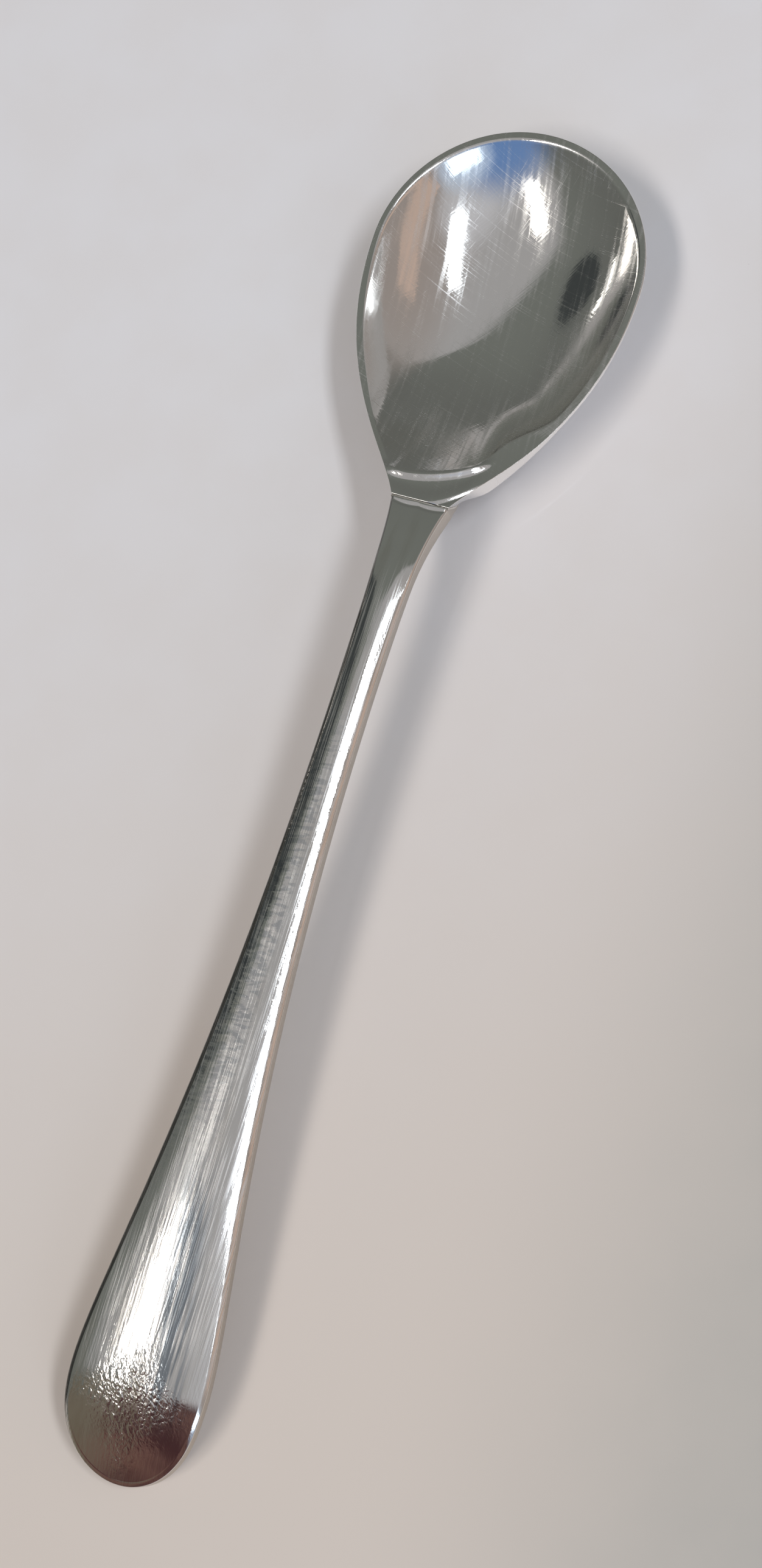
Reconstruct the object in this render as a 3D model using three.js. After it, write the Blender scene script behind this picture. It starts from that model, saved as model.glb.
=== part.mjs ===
// A silver salt spoon: a raised bowl and a forged stem, scarfed together with a film of solder.
// Millimetres, +Z up. +X runs from the end of the handle to the tip of the bowl. The spoon rests on
// z = 0, under its bowl and under the turned-down end, with its box centred on the origin.
import * as THREE from "three";

const { lerp, clamp, smoothstep, degToRad } = THREE.MathUtils;

// Plan of the whole spoon
const LENGTH = 98;

// Plan of the bowl: an egg, broad towards the tip, with long shoulders down to the stem
const BOWL_WIDTH = 19.8;
const BOWL_LENGTH = 29.5; // seam with the stem to tip
const TIP_RUN = 10.4; // widest place to tip
const TIP_FULLNESS = 1.95; // 2 would be a true ellipse
const SHOULDER_EASE = 0.56; // share of the shoulder's run that stays broad
const NECK_EASE = 0.21; // share of the shoulder's run that leaves the stem straight
const NECK_ANGLE = degToRad(27); // at which the shoulder leaves the stem
const LIP_LENGTH = 2.3; // solid heel between the seam and the hollow
const HOLLOW_CORNER = 1.3; // rounding of the hollow's two corners at the heel
const RIM_BAND = 0.65; // rim at the tip
const SIDE_BAND = 0.52; // rim along the sides and shoulders
const RIM_FLAT_START = 0.3; // shares of the rim's width between which it is flat
const RIM_FLAT_END = 0.8;

// Heights of the bowl
const RIM_HEIGHT = 5.8;
const RIM_DROOP = 0.35; // fall of the rim towards the tip
const RIM_EDGE = 0.6; // plain outer edge of the rim
const FLOOR = 0.85; // metal under the middle of the hollow
const BELLY_FROM_TIP = 13.5; // deepest place
const BELLY_FULLNESS = 0.86; // 1 would stand the wall upright at the rim
const BELLY_NECK = 1.5; // how late the belly's round contours take on the neck
const HEEL_EASE = 0.25; // how far the hollow's rise to the heel straightens out
const HEEL_RUN = 7; // length over which the hollow's steep sides take over from the heel
const BOWL_REST = 2.4; // width of the worn flat under the bowl
const WALL_FADE_START = 1.5; // the heel's deep edge thins to the rim's, from here
const WALL_FADE_RUN = 8; // over this length

// Plan of the stem
const ROOT_WIDTH = 4.1; // at the seam
const ROOT_ANGLE = degToRad(11); // spread of the stem's edge at the seam
const ROOT_EASE = 0.66; // share of the root's run that stays slim
const ROOT_SPREAD = 0.18; // share of the root's run that spreads
const WAIST_WIDTH = 2.62; // slimmest place
const WAIST_FROM_SEAM = 14;
const TERMINAL_WIDTH = 9.4;
const END_RUN = 7.1; // widest place of the terminal to the end
const END_FULLNESS = 2.56; // 2 would be a true ellipse
const END_FLAT = 1.1; // straight middle of the end
const SLIM_EASE = 0.6; // share of the handle's run that stays slim
const FLARE_EASE = 0.12; // share of the handle's run that stays broad

// Heights of the stem's upper edge, along an arch from the bowl to the end
const ARCH_HEIGHT = 8.4;
const PEAK_FROM_SEAM = 6;
const DIP_RUN = 13.3; // peak of the arch down to the level rim
const ARCH_CURVE = 1.6; // exponent of the arch behind its peak
const END_HEIGHT = 1.3; // upper edge at the very end
const TURN_DOWN = 2; // extra fall of the turned-down end
const TURN_RUN = 7;
const END_REST = 0.65; // length of the worn flat under the end

// Sections of the stem
const TERMINAL_THICKNESS = 1.44; // side wall at the terminal
const WAIST_THICKNESS = 1.45; // side wall at the waist
const ROOT_THICKNESS = 2.1; // side wall at the seam, of stem and heel alike
const ROOT_RUN = 7; // length over which the side wall deepens to the seam
const TERMINAL_CROWN = 0.5; // rise of the upper face's arc at the terminal
const WAIST_CROWN = 0.05; // and at the waist
const CROWN_START = 3; // from the seam to where crown and bevels start
const CROWN_RUN = 5; // length over which they rise
const END_FLATTENING = 0.8; // share of the crown that is lost at the end
const BEVEL_SLOPE = 0.42; // of the bevels beside the upper face
const BEVEL_WIDTH = 0.45;
const BEVEL_BLEND = 0.6; // width of the turn from face to bevel
const BEVEL_END = 12; // from the end to where the bevels have run out
const BEVEL_FADE = 8; // length over which they run out
const CHAMFER_WIDTH = 0.29; // of the chamfers along the upper edges
const CHAMFER_DROP = 0.2;
const KEEL = 0.85; // fall of the rounded under face below its edges at the waist
const LOWER_ROUND = 0.3; // easing of the lower edges

// Scarf joint, with the drop that laps under the bowl
const SOLDER = 0.14; // joint gap that the film fills
const SOLDER_FIT = 0.01; // hair's breadth on each side of the film
const SCARF_RUN = 1; // lean of the heel's cut
const SCARF_FADE = 3; // length of shoulder that takes up the lean
const SEAM_GROOVE = 0.05; // easing of the two upper edges along the seam and the rim
const DROP_DEPTH = 0.9; // fall of the drop's middle below its edges at the seam
const DROP_EDGE = 0.35; // height of the drop's edges at the seam
const DROP_END_EDGE = 0.12; // and at its far end
const DROP_END_SHARE = 0.35; // width left at the far end, where the drop closes round
const DROP_END_ROUND = 5; // how late the drop starts to close

// Fineness of the facets
const TIP_STEPS = 14;
const SHOULDER_STEPS = 14;
const FACE_STEPS = 3; // across half the stem's upper face
const BEVEL_STEPS = 3;
const SEAM_STEPS = FACE_STEPS + BEVEL_STEPS + 1; // with the chamfer, across half the seam
const CORNER_STEPS = 4; // of these, round a corner of the hollow
const HOLLOW_RINGS = 12;
const BELLY_RINGS = 12;
const DROP_RINGS = 6; // belly contours that the drop reaches over
const END_STEPS = 14;
const HANDLE_STEPS = 34;
const ROOT_STEPS = 14;

// Places along the spoon
const tipX = LENGTH / 2;
const endX = -LENGTH / 2;
const widestX = tipX - TIP_RUN;
const seamX = tipX - BOWL_LENGTH;
const stemFrontX = seamX - SOLDER;
const lipX = seamX + LIP_LENGTH;
const bellyX = tipX - BELLY_FROM_TIP;
const peakX = seamX - PEAK_FROM_SEAM;
const levelX = peakX + DIP_RUN;
const waistX = seamX - WAIST_FROM_SEAM;
const flareX = endX + END_RUN;

const flat = (x, y) => new THREE.Vector2(x, y);
const spot = (x, y, z) => new THREE.Vector3(x, y, z);
const counts = (steps) => Array.from({ length: steps + 1 }, (_, i) => i / steps);

// Squared share of the turned-down end that lies ahead: 1 at the end, 0 where the turn begins.
function turnShare(x) {
  return (Math.max(0, endX + TURN_RUN - x) / TURN_RUN) ** 2;
}

// Height of the upper edge: an arch behind its peak, a dip down to the rim before it, a droop
// towards the tip and a turned-down end.
function edgeHeight(x) {
  const behind = Math.max(0, peakX - x) / (peakX - endX);
  const archFall = (ARCH_HEIGHT - END_HEIGHT - TURN_DOWN) * behind ** ARCH_CURVE;
  const dip = (ARCH_HEIGHT - RIM_HEIGHT) * smoothstep(x, peakX, levelX);
  const ahead = Math.max(0, x - levelX) / (tipX - levelX);
  return ARCH_HEIGHT - archFall - TURN_DOWN * turnShare(x) - dip - RIM_DROOP * ahead ** 2;
}

// Quarter of a superellipse, from its end on the axis to its widest place.
function quarter(run, half, fullness, share) {
  const angle = (share * Math.PI) / 2;
  return flat(run * Math.cos(angle) ** (2 / fullness), half * Math.sin(angle));
}

// Skins a row of closed rings with triangles and closes both ends by fans about their middles.
function skin(rings) {
  const around = rings[0].length;
  const points = rings.flat();
  const faces = [];
  for (let r = 0; r + 1 < rings.length; r++) {
    for (let i = 0; i < around; i++) {
      const a = r * around + i;
      const b = r * around + ((i + 1) % around);
      faces.push(a, a + around, b, b, a + around, b + around);
    }
  }
  const lastStart = (rings.length - 1) * around;
  const middles = [rings[0], rings.at(-1)].map((ring) => {
    const sum = ring.reduce((total, p) => total.add(p), spot(0, 0, 0));
    return points.push(sum.divideScalar(around)) - 1;
  });
  for (let i = 0; i < around; i++) {
    const next = (i + 1) % around;
    faces.push(middles[0], i, next, middles[1], lastStart + next, lastStart + i);
  }
  const geometry = new THREE.BufferGeometry().setFromPoints(points);
  geometry.setIndex(faces);
  geometry.computeVertexNormals();
  return geometry;
}

// Shoulder of the rim, from its widest place to the seam
const bowlHalfWidth = BOWL_WIDTH / 2;
const rootHalf = ROOT_WIDTH / 2;
const shoulderRun = widestX - seamX;
const neckReach = shoulderRun * NECK_EASE;
const shoulder = new THREE.CubicBezierCurve(
  flat(widestX, bowlHalfWidth),
  flat(widestX - shoulderRun * SHOULDER_EASE, bowlHalfWidth),
  flat(seamX + neckReach * Math.cos(NECK_ANGLE), rootHalf + neckReach * Math.sin(NECK_ANGLE)),
  flat(seamX, rootHalf),
);

// Place that lies a band's width inside the shoulder.
function insetShoulder(share) {
  const along = shoulder.getTangent(share);
  return shoulder.getPoint(share).add(flat(-along.y, along.x).multiplyScalar(SIDE_BAND));
}

// Share of the shoulder at which its inset reaches the hollow's corner.
function cornerShare() {
  let low = 0;
  let high = 1;
  for (let i = 0; i < 40; i++) {
    const middle = (low + high) / 2;
    if (insetShoulder(middle).x > lipX + HOLLOW_CORNER) {
      low = middle;
    } else {
      high = middle;
    }
  }
  return low;
}

// Half outlines of the bowl, from the tip's axis round to the heel's axis

function bowlTip(run, half) {
  return counts(TIP_STEPS).map((s) => quarter(run, half, TIP_FULLNESS, s).add(flat(widestX, 0)));
}

function bowlHalf() {
  return [
    ...bowlTip(TIP_RUN, bowlHalfWidth),
    ...counts(SHOULDER_STEPS).slice(1).map((s) => shoulder.getPoint(s)),
    ...counts(SEAM_STEPS).slice(1).map((s) => flat(seamX, rootHalf * (1 - s))),
  ];
}

// The hollow keeps inside the shoulder, turns a rounded corner and ends straight across the heel.
function hollowHalf() {
  const lastShare = cornerShare();
  const side = counts(SHOULDER_STEPS).slice(1).map((s) => insetShoulder(s * lastShare));
  const start = side.at(-1);
  const along = shoulder.getTangent(lastShare);
  const corner = flat(lipX, start.y + ((lipX - start.x) * along.y) / along.x);
  const turned = flat(lipX, corner.y - HOLLOW_CORNER);
  const rounded = new THREE.QuadraticBezierCurve(start, corner, turned);
  return [
    ...bowlTip(TIP_RUN - RIM_BAND, bowlHalfWidth - SIDE_BAND),
    ...side,
    ...counts(CORNER_STEPS).slice(1).map((s) => rounded.getPoint(s)),
    ...counts(SEAM_STEPS - CORNER_STEPS).slice(1).map((s) => flat(lipX, turned.y * (1 - s))),
  ];
}

// Full loop of a half outline, counter-clockwise from above.
function loop(half) {
  const mirrored = half.slice(1, -1).reverse().map((p) => flat(p.x, -p.y));
  return [...half, ...mirrored];
}

// Height of the outer edge below the rim: deep at the heel, plain round the bowl.
function wallHeight(x) {
  const fade = smoothstep(x, seamX + WALL_FADE_START, seamX + WALL_FADE_START + WALL_FADE_RUN);
  return lerp(ROOT_THICKNESS, RIM_EDGE, fade);
}

// Height share of a round-bottomed wall at the given share of the way out from the middle.
function bellyRise(out) {
  const arc = (s) => 1 - Math.sqrt(1 - (BELLY_FULLNESS * s) ** 2);
  return arc(out) / arc(1);
}

// Contour of a bowl's wall: an ellipse near the middle that takes on the given outline further out.
function contour(outline, half, out) {
  const run = BELLY_FROM_TIP;
  const neck = out ** BELLY_NECK;
  return outline.map((p) => {
    const angle = Math.atan2(p.y / half, (p.x - bellyX) / run);
    const round = flat(run * Math.cos(angle), half * Math.sin(angle));
    const reach = round.lerp(flat(p.x - bellyX, p.y), neck).multiplyScalar(out);
    return flat(bellyX + reach.x, reach.y);
  });
}

const rimLoop = loop(bowlHalf());
const hollowLoop = loop(hollowHalf());

// Foot of the outer edge: plumb under the rim, leaning forward along the scarf.
const footLoop = rimLoop.map((p) => {
  const lean = SCARF_RUN * (1 - smoothstep(p.x, seamX, seamX + SCARF_FADE));
  return flat(p.x + lean, p.y);
});

// The hollow is round towards its sides and tip, and rises gently and straighter to the heel.
function hollowRing(out) {
  const heelRise = (1 + HEEL_EASE) * out ** 2 - HEEL_EASE * out ** 4;
  const places = contour(hollowLoop, bowlHalfWidth - SIDE_BAND, out);
  return places.map((p, i) => {
    const edgeX = hollowLoop[i].x;
    const rise = lerp(heelRise, bellyRise(out), smoothstep(edgeX, lipX, lipX + HEEL_RUN));
    return spot(p.x, p.y, lerp(FLOOR, edgeHeight(edgeX) - SEAM_GROOVE / 2, rise));
  });
}

function bandRing(share, fall) {
  return hollowLoop.map((p, i) => {
    const place = p.clone().lerp(rimLoop[i], share);
    return spot(place.x, place.y, edgeHeight(place.x) - fall);
  });
}

function footHeight(i) {
  return edgeHeight(rimLoop[i].x) - wallHeight(rimLoop[i].x);
}

// The belly is level inside the worn flat, and round from there out to the foot of the edge.
const restShare = BOWL_REST / BOWL_WIDTH;
function bellyRing(out) {
  const rise = bellyRise((out - restShare) / (1 - restShare));
  return contour(footLoop, bowlHalfWidth, out).map((p, i) => spot(p.x, p.y, footHeight(i) * rise));
}

const edgeRing = bandRing(1, SEAM_GROOVE);
const bellyRings = counts(BELLY_RINGS).map((s) => bellyRing(lerp(1, restShare, s)));

function makeBowl() {
  const hollow = counts(HOLLOW_RINGS).slice(1).map((s) => hollowRing(s));
  const flatRings = [bandRing(RIM_FLAT_START, 0), bandRing(RIM_FLAT_END, 0)];
  return skin([...hollow, ...flatRings, edgeRing, ...bellyRings]);
}

// Share of the drop's length at a row of the joint: 0 down the scarf, 1 at the drop's far end.
const dropShare = (j) => Math.max(0, j - 1) / DROP_RINGS;

// The stretch of a bowl ring that lies over the joint, from -Y to +Y. Under the bowl it narrows to
// the drop's round end.
const cornerIndex = TIP_STEPS + SHOULDER_STEPS;
function seamRow(ring, j) {
  const row = ring.slice(cornerIndex, cornerIndex + 2 * SEAM_STEPS + 1).reverse();
  const kept = Math.sqrt(1 - (1 - DROP_END_SHARE ** 2) * dropShare(j) ** DROP_END_ROUND);
  return row.map((_, i) => {
    const place = SEAM_STEPS + (i - SEAM_STEPS) * kept;
    const low = Math.min(Math.floor(place), row.length - 2);
    return row[low].clone().lerp(row[low + 1], place - low);
  });
}

// A row moved down behind the bowl. The uppermost row only moves back, so that it stays level.
function sink(row, j, depth) {
  return row.map((p) => spot(p.x - depth, p.y, p.z - (j === 0 ? 0 : depth)));
}

const heelRows = [edgeRing, ...bellyRings.slice(0, DROP_RINGS + 1)].map(seamRow);
const solderRows = heelRows.map((row, j) => sink(row, j, SOLDER_FIT));
const solderUnderRows = heelRows.map((row, j) => sink(row, j, SOLDER - SOLDER_FIT));
const stemRows = heelRows.map((row, j) => sink(row, j, SOLDER));

function makeSolder() {
  return skin(solderRows.map((row, j) => [...row, ...solderUnderRows[j].toReversed()]));
}

// Plan stations of the stem, from the end to the seam: place along the spoon and half width.
function stemStations() {
  const half = TERMINAL_WIDTH / 2;
  const waist = WAIST_WIDTH / 2;
  const handleRun = waistX - flareX;
  const rootRun = stemFrontX - waistX;
  const spread = rootRun * ROOT_SPREAD;
  const firstShare = (2 / Math.PI) * Math.asin(END_FLAT / TERMINAL_WIDTH);
  const firstRun = quarter(1, half, END_FULLNESS, firstShare).x;
  const end = counts(END_STEPS).map((s) => {
    const p = quarter(END_RUN / firstRun, half, END_FULLNESS, lerp(firstShare, 1, s));
    return flat(flareX - p.x, p.y);
  });
  const handle = new THREE.CubicBezierCurve(
    flat(flareX, half),
    flat(flareX + handleRun * FLARE_EASE, half),
    flat(waistX - handleRun * SLIM_EASE, waist),
    flat(waistX, waist),
  );
  const rootEdge = new THREE.CubicBezierCurve(
    flat(waistX, waist),
    flat(waistX + rootRun * ROOT_EASE, waist),
    flat(stemFrontX - spread, rootHalf - spread * Math.tan(ROOT_ANGLE)),
    flat(stemFrontX, rootHalf),
  );
  return [
    ...end,
    ...counts(HANDLE_STEPS).slice(1).map((s) => handle.getPoint(s)),
    ...counts(ROOT_STEPS).slice(1, -1).map((s) => rootEdge.getPoint(s)),
  ];
}

function sideHeight(x) {
  const handle = lerp(TERMINAL_THICKNESS, WAIST_THICKNESS, smoothstep(x, flareX, waistX));
  return lerp(handle, ROOT_THICKNESS, smoothstep(x, seamX - ROOT_RUN, seamX));
}

// Height of the lower edges. The end thickens as it turns down, so that its worn flat meets z = 0.
function lowerHeight(x) {
  const plain = edgeHeight(x) - sideHeight(x);
  const restX = endX + END_REST;
  const atRest = edgeHeight(restX) - sideHeight(restX);
  return Math.max(0, plain - (atRest * turnShare(x)) / turnShare(restX));
}

function keelDepth(x) {
  const slim = KEEL * smoothstep(x, flareX, waistX);
  return slim + (DROP_DEPTH - KEEL) * smoothstep(x, waistX, seamX);
}

// Share of crown and bevels that shows: all along the handle, none at the root.
const crownStartX = seamX - CROWN_START;
function crownShare(x) {
  return 1 - smoothstep(x, crownStartX - CROWN_RUN, crownStartX);
}

function crownHeight(x, half) {
  const rounding = x < flareX ? ((2 * half) / TERMINAL_WIDTH) ** 2 : 1;
  const full = lerp(TERMINAL_CROWN, WAIST_CROWN, smoothstep(x, flareX, waistX));
  return full * rounding * crownShare(x) * (1 - END_FLATTENING * turnShare(x));
}

// Rise that the bevels add to a crown of the given slope at their outer edges, at a distance from
// there: what an even slope takes beyond that of the crown, which then levels out.
function bevelRise(x, crownSlope, inward) {
  const outX = endX + BEVEL_END;
  const shown = smoothstep(x, outX, outX + BEVEL_FADE) * crownShare(x);
  const t = clamp((inward - BEVEL_WIDTH) / BEVEL_BLEND, 0, 1);
  const level = Math.min(inward, BEVEL_WIDTH) + BEVEL_BLEND * (t - t ** 3 + t ** 4 / 2);
  return Math.max(0, BEVEL_SLOPE - crownSlope) * shown * level;
}

// A measure of the upper edges, which runs from the handle's value to the seam's.
function upperEdge(x, handle, seam) {
  return lerp(handle, seam, smoothstep(x, waistX, crownStartX));
}

// One closed section: the upper row, then the two lower corners and the rounded under face.
// The under face falls from its edges by the keel, as a parabola.
function section(upper, lower, keel) {
  const half = upper.at(-1).y;
  const inset = (half - LOWER_ROUND) / half;
  const edge = Math.min(LOWER_ROUND, (upper[0].z - lower) / 2);
  const under = upper.map((p) => {
    const fall = keel * (1 - (p.y / half) ** 2);
    return spot(p.x, p.y * inset, lower - fall);
  });
  const corner = (p) => spot(p.x, p.y, lower + edge);
  return [...upper, corner(upper.at(-1)), ...under.toReversed(), corner(upper[0])];
}

// Section of the stem: a crowned face between two bevels, and a chamfer along each upper edge.
function stemSection({ x, y: half }) {
  const brow = half - Math.min(upperEdge(x, CHAMFER_WIDTH, SEAM_GROOVE), half / 2);
  const inner = Math.max(brow - BEVEL_WIDTH - BEVEL_BLEND, brow / 4);
  const face = edgeHeight(x) + upperEdge(x, CHAMFER_DROP, 0);
  const full = crownHeight(x, half);
  const crown = (y) => full * (1 - (y / brow) ** 2);
  const bevel = (y) => bevelRise(x, (2 * full) / brow, brow - y);
  const places = [
    ...counts(FACE_STEPS).map((s) => inner * s),
    ...counts(BEVEL_STEPS).slice(1).map((s) => lerp(inner, brow, s)),
  ];
  const row = places.map((y) => spot(x, y, face + crown(y) + bevel(y)));
  row.push(spot(x, half, face - upperEdge(x, CHAMFER_DROP, SEAM_GROOVE)));
  const mirrored = row.slice(1).reverse().map((p) => spot(x, -p.y, p.z));
  return section([...mirrored, ...row], lowerHeight(x), keelDepth(x));
}

// Sections of the drop: its upper face lies on the solder, and its depth runs out to the far end.
function dropSection(row, j) {
  const out = dropShare(j);
  const edge = lerp(DROP_EDGE, DROP_END_EDGE, out);
  return section(row, row[0].z - edge, DROP_DEPTH * (1 - out));
}

function makeStem() {
  const body = stemStations().map(stemSection);
  const seam = section(stemRows[0], lowerHeight(stemFrontX), keelDepth(stemFrontX));
  const drop = stemRows.slice(1).map((row, j) => dropSection(row, j + 1));
  return skin([...body, seam, ...drop]);
}

function piece(name, geometry, color, roughness) {
  const material = new THREE.MeshStandardMaterial({ color, roughness, metalness: 1 });
  const mesh = new THREE.Mesh(geometry, material);
  mesh.name = name;
  return mesh;
}

const silver = 0xc8c6c0;
const duller = 0xb9b5a8;
const saltSpoon = new THREE.Group();
saltSpoon.name = "salt_spoon";
saltSpoon.add(
  piece("bowl", makeBowl(), silver, 0.16),
  piece("stem", makeStem(), silver, 0.18),
  piece("solder_seam", makeSolder(), duller, 0.3),
);

export default saltSpoon;
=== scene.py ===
import math

import bmesh
import bpy
import numpy as np
from bpy.props import FloatProperty, FloatVectorProperty, PointerProperty
from mathutils import Matrix, Vector


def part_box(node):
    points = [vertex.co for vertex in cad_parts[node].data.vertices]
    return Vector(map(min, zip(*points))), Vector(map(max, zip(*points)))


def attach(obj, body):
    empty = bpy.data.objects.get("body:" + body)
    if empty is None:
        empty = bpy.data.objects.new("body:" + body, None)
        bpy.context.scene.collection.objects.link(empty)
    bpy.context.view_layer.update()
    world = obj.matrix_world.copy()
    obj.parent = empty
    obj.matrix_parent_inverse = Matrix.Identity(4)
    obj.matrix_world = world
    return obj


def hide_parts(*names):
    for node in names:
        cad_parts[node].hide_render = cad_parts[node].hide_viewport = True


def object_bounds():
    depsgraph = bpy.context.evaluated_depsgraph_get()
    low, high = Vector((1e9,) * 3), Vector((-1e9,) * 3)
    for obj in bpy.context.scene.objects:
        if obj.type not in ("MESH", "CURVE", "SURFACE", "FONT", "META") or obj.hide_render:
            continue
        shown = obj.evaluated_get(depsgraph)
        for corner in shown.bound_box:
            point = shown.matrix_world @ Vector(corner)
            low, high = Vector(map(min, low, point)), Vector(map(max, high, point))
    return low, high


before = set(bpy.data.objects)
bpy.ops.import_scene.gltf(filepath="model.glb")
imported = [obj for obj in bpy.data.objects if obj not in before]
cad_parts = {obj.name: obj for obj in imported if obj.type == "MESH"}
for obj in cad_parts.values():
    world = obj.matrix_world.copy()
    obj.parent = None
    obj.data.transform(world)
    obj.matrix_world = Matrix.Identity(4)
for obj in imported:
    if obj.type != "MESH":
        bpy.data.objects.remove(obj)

bl_info = {
    "name": "Silver salt spoon",
    "version": (1, 0, 0),
    "blender": (4, 5, 0),
    "location": "View3D > Sidebar > Salt spoon",
    "description": "Makes a worn silver salt spoon from its sizes and lays it on a pale table",
    "category": "Add Mesh",
}

CAD_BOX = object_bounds()
BOWL_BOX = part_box("bowl")
MM = 0.001

# Fineness of the grids
TIP_STEPS = 60
SHOULDER_STEPS = 64
CORNER_STEPS = 10
SEAM_STEPS = 22
HOLLOW_RINGS = 80
EDGE_RINGS = 8
BAND_RINGS = 40
BELLY_RINGS = 56
END_STEPS = 90
HANDLE_STEPS = 330
ROOT_STEPS = 150
ROOT_CROWDING = 1.6
CROWN_STEPS = 12
BEVEL_STEPS = 16
SCARF_STEPS = 12
DROP_STEPS = 40
FINE_STEPS = 12 * SHOULDER_STEPS
WELD = 1e-7
SHARP_ANGLE = math.radians(38)

# Relief of the heel, in half widths of the root: whole up to the first, gone from the second
RELIEF_WHOLE = 1.2
RELIEF_GONE = 2

# Powers with which the hollow takes on the rim's own height: round the bowl and at the heel
RIM_POWER = 3
HEEL_POWER = 2

# Shares: of the half width that stays plain between the bevels, of a side wall that its lower
# rounding may take, and of the bowl's outer wall that the rounding of its foot takes
FACE_KEPT = 1 / 6
ROUND_MOST = 1 / 3
FOOT_TAKEN = 1 / 2

# Parts of the stem's normals at which its dull sides (partly tarnish, partly painted shade) and its
# painted dark edge (painted shade on the flank that faces +Y) begin and are whole
SIDE_FACING = (0.45, 0.2)
PAINTED_EDGE_FACING = (0.42, 0.5)

# Strip lights: place of each over its height, and tint
STRIP_LIGHTS = {
    "right_strip": ((0.03, -0.57), (0.86, 0.93, 1)),
    "left_strip": ((-0.5, 0.27), (1, 0.96, 0.91)),
}

# Cards beside the table, turned to a place in the bowl: place and spread in metres, radiance, tint
CARD_AIM = (0.04, 0, 0.004)
SIDE_CARDS = {
    "cool_window": ((-0.44, -0.5, 0.39), (0.26, 0.17), 2.4, (0.75, 0.88, 1)),
    "warm_card": ((0.092, -0.6, 0.32), (0.56, 0.2), 0.2, (1, 0.6, 0.4)),
    "side_strip": ((0.19, 0.67, 0.134), (0.2, 0.04), 2, (1, 0.97, 0.92)),
}

# Patches of the room, each laid over those before it: a colour, and the cones whose common part it
# fills, each with a direction and the half angles in degrees at which it is whole and gone
ROOM_PATCHES = {
    "overhead": ((0.155, 0.165, 0.15), ((0, 0, 1), 20, 80)),
    "dark spot": ((0.045, 0.05, 0.05), ((0.15, 0.83, 0.53), 10, 12)),
    "ceiling": ((0.35, 0.345, 0.345), ((-0.68, -0.63, 0.37), 86, 92), ((0, -0.72, 1), 66, 77)),
    "warm side": ((0.3, 0.265, 0.245), ((0, -1, 0.3), 25, 65)),
    "bright ceiling": ((0.48, 0.48, 0.5), ((-0.35, -0.5, 0.85), 8, 26)),
    "blue side": ((0.13, 0.23, 0.45), ((-0.837, -0.28, 0.47), 8, 38)),
    "window": ((0.5, 0.6, 0.75), ((-0.6, -0.63, 0.49), 4, 22)),
}


def size(name, description, millimetres):
    """A length that a user may change."""
    return FloatProperty(
        name=name,
        description=description,
        default=millimetres * MM,
        unit="LENGTH",
        precision=5,
    )


def share(name, description, default):
    """A plain number that a user may change."""
    return FloatProperty(name=name, description=description, default=default, subtype="FACTOR")


def turn(name, description, degrees):
    """An angle that a user may change."""
    return FloatProperty(
        name=name, description=description, default=math.radians(degrees), unit="ROTATION"
    )


def colour(name, description, default):
    """A linear colour that a user may change."""
    return FloatVectorProperty(
        name=name, description=description, default=default, subtype="COLOR", min=0, max=1
    )


class BowlSizes(bpy.types.PropertyGroup):
    """Sizes of the bowl."""

    width: size("Width", "Widest place of the rim", (BOWL_BOX[1].y - BOWL_BOX[0].y) / MM)
    length: size("Length", "From the seam to the tip", (BOWL_BOX[1].x - BOWL_BOX[0].x) / MM)
    tip_run: size("Tip run", "From the widest place to the tip", 10.4)
    tip_fullness: share("Tip fullness", "Roundness of the tip, 2 for an ellipse", 1.95)
    shoulder_ease: share("Shoulder ease", "Share of the shoulder that stays broad", 0.56)
    neck_ease: share("Neck ease", "Share of the shoulder that leaves the stem straight", 0.21)
    neck_angle: turn("Neck angle", "At which the shoulder leaves the stem", 27)
    lip: size("Lip", "Solid heel between the seam and the hollow", 2.3)
    hollow_corner: size("Hollow corner", "Rounding of the hollow's corners at the heel", 1.3)
    rim_band: size("Rim band", "Width of the rim at the tip", 0.65)
    side_band: size("Side band", "Width of the rim along the sides", 0.52)
    rim_height: size("Rim height", "Height of the rim over the table", 5.8)
    rim_droop: size("Rim droop", "Fall of the rim towards the tip", 0.35)
    rim_edge: size("Rim edge", "Height of the rim's outer wall", 0.6)
    inner_round: size("Inner rounding", "Rounding of the rim's inner edge", 0.16)
    outer_round: size("Outer rounding", "Rounding of the rim's outer edge", 0.13)
    foot_round: size("Foot rounding", "Rounding from the outer wall into the belly", 0.7)
    floor: size("Floor", "Metal under the middle of the hollow", 0.85)
    belly_from_tip: size("Belly from tip", "Place of the deepest point", 13.5)
    belly_fullness: share("Belly fullness", "1 stands the wall upright at the rim", 0.86)
    heel_ease: share("Heel ease", "How far the hollow's rise to the heel straightens out", 0.25)
    heel_run: size("Heel run", "Length over which the hollow's sides take over", 7)
    lip_skew: share("Lip skew", "How much one corner of the hollow's end leads the other", 0.3)
    lip_bow: size("Lip bow", "How far both corners lead the middle", 0.5)
    belly_neck: share("Belly neck", "How late round contours take on the neck", 1.5)
    rest: size("Rest", "Width of the worn flat under the bowl", 2.4)
    wall_fade_start: size("Wall fade start", "Where the heel's deep wall starts to thin", 1.5)
    wall_fade_run: size("Wall fade run", "Length over which it thins", 8)


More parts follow.
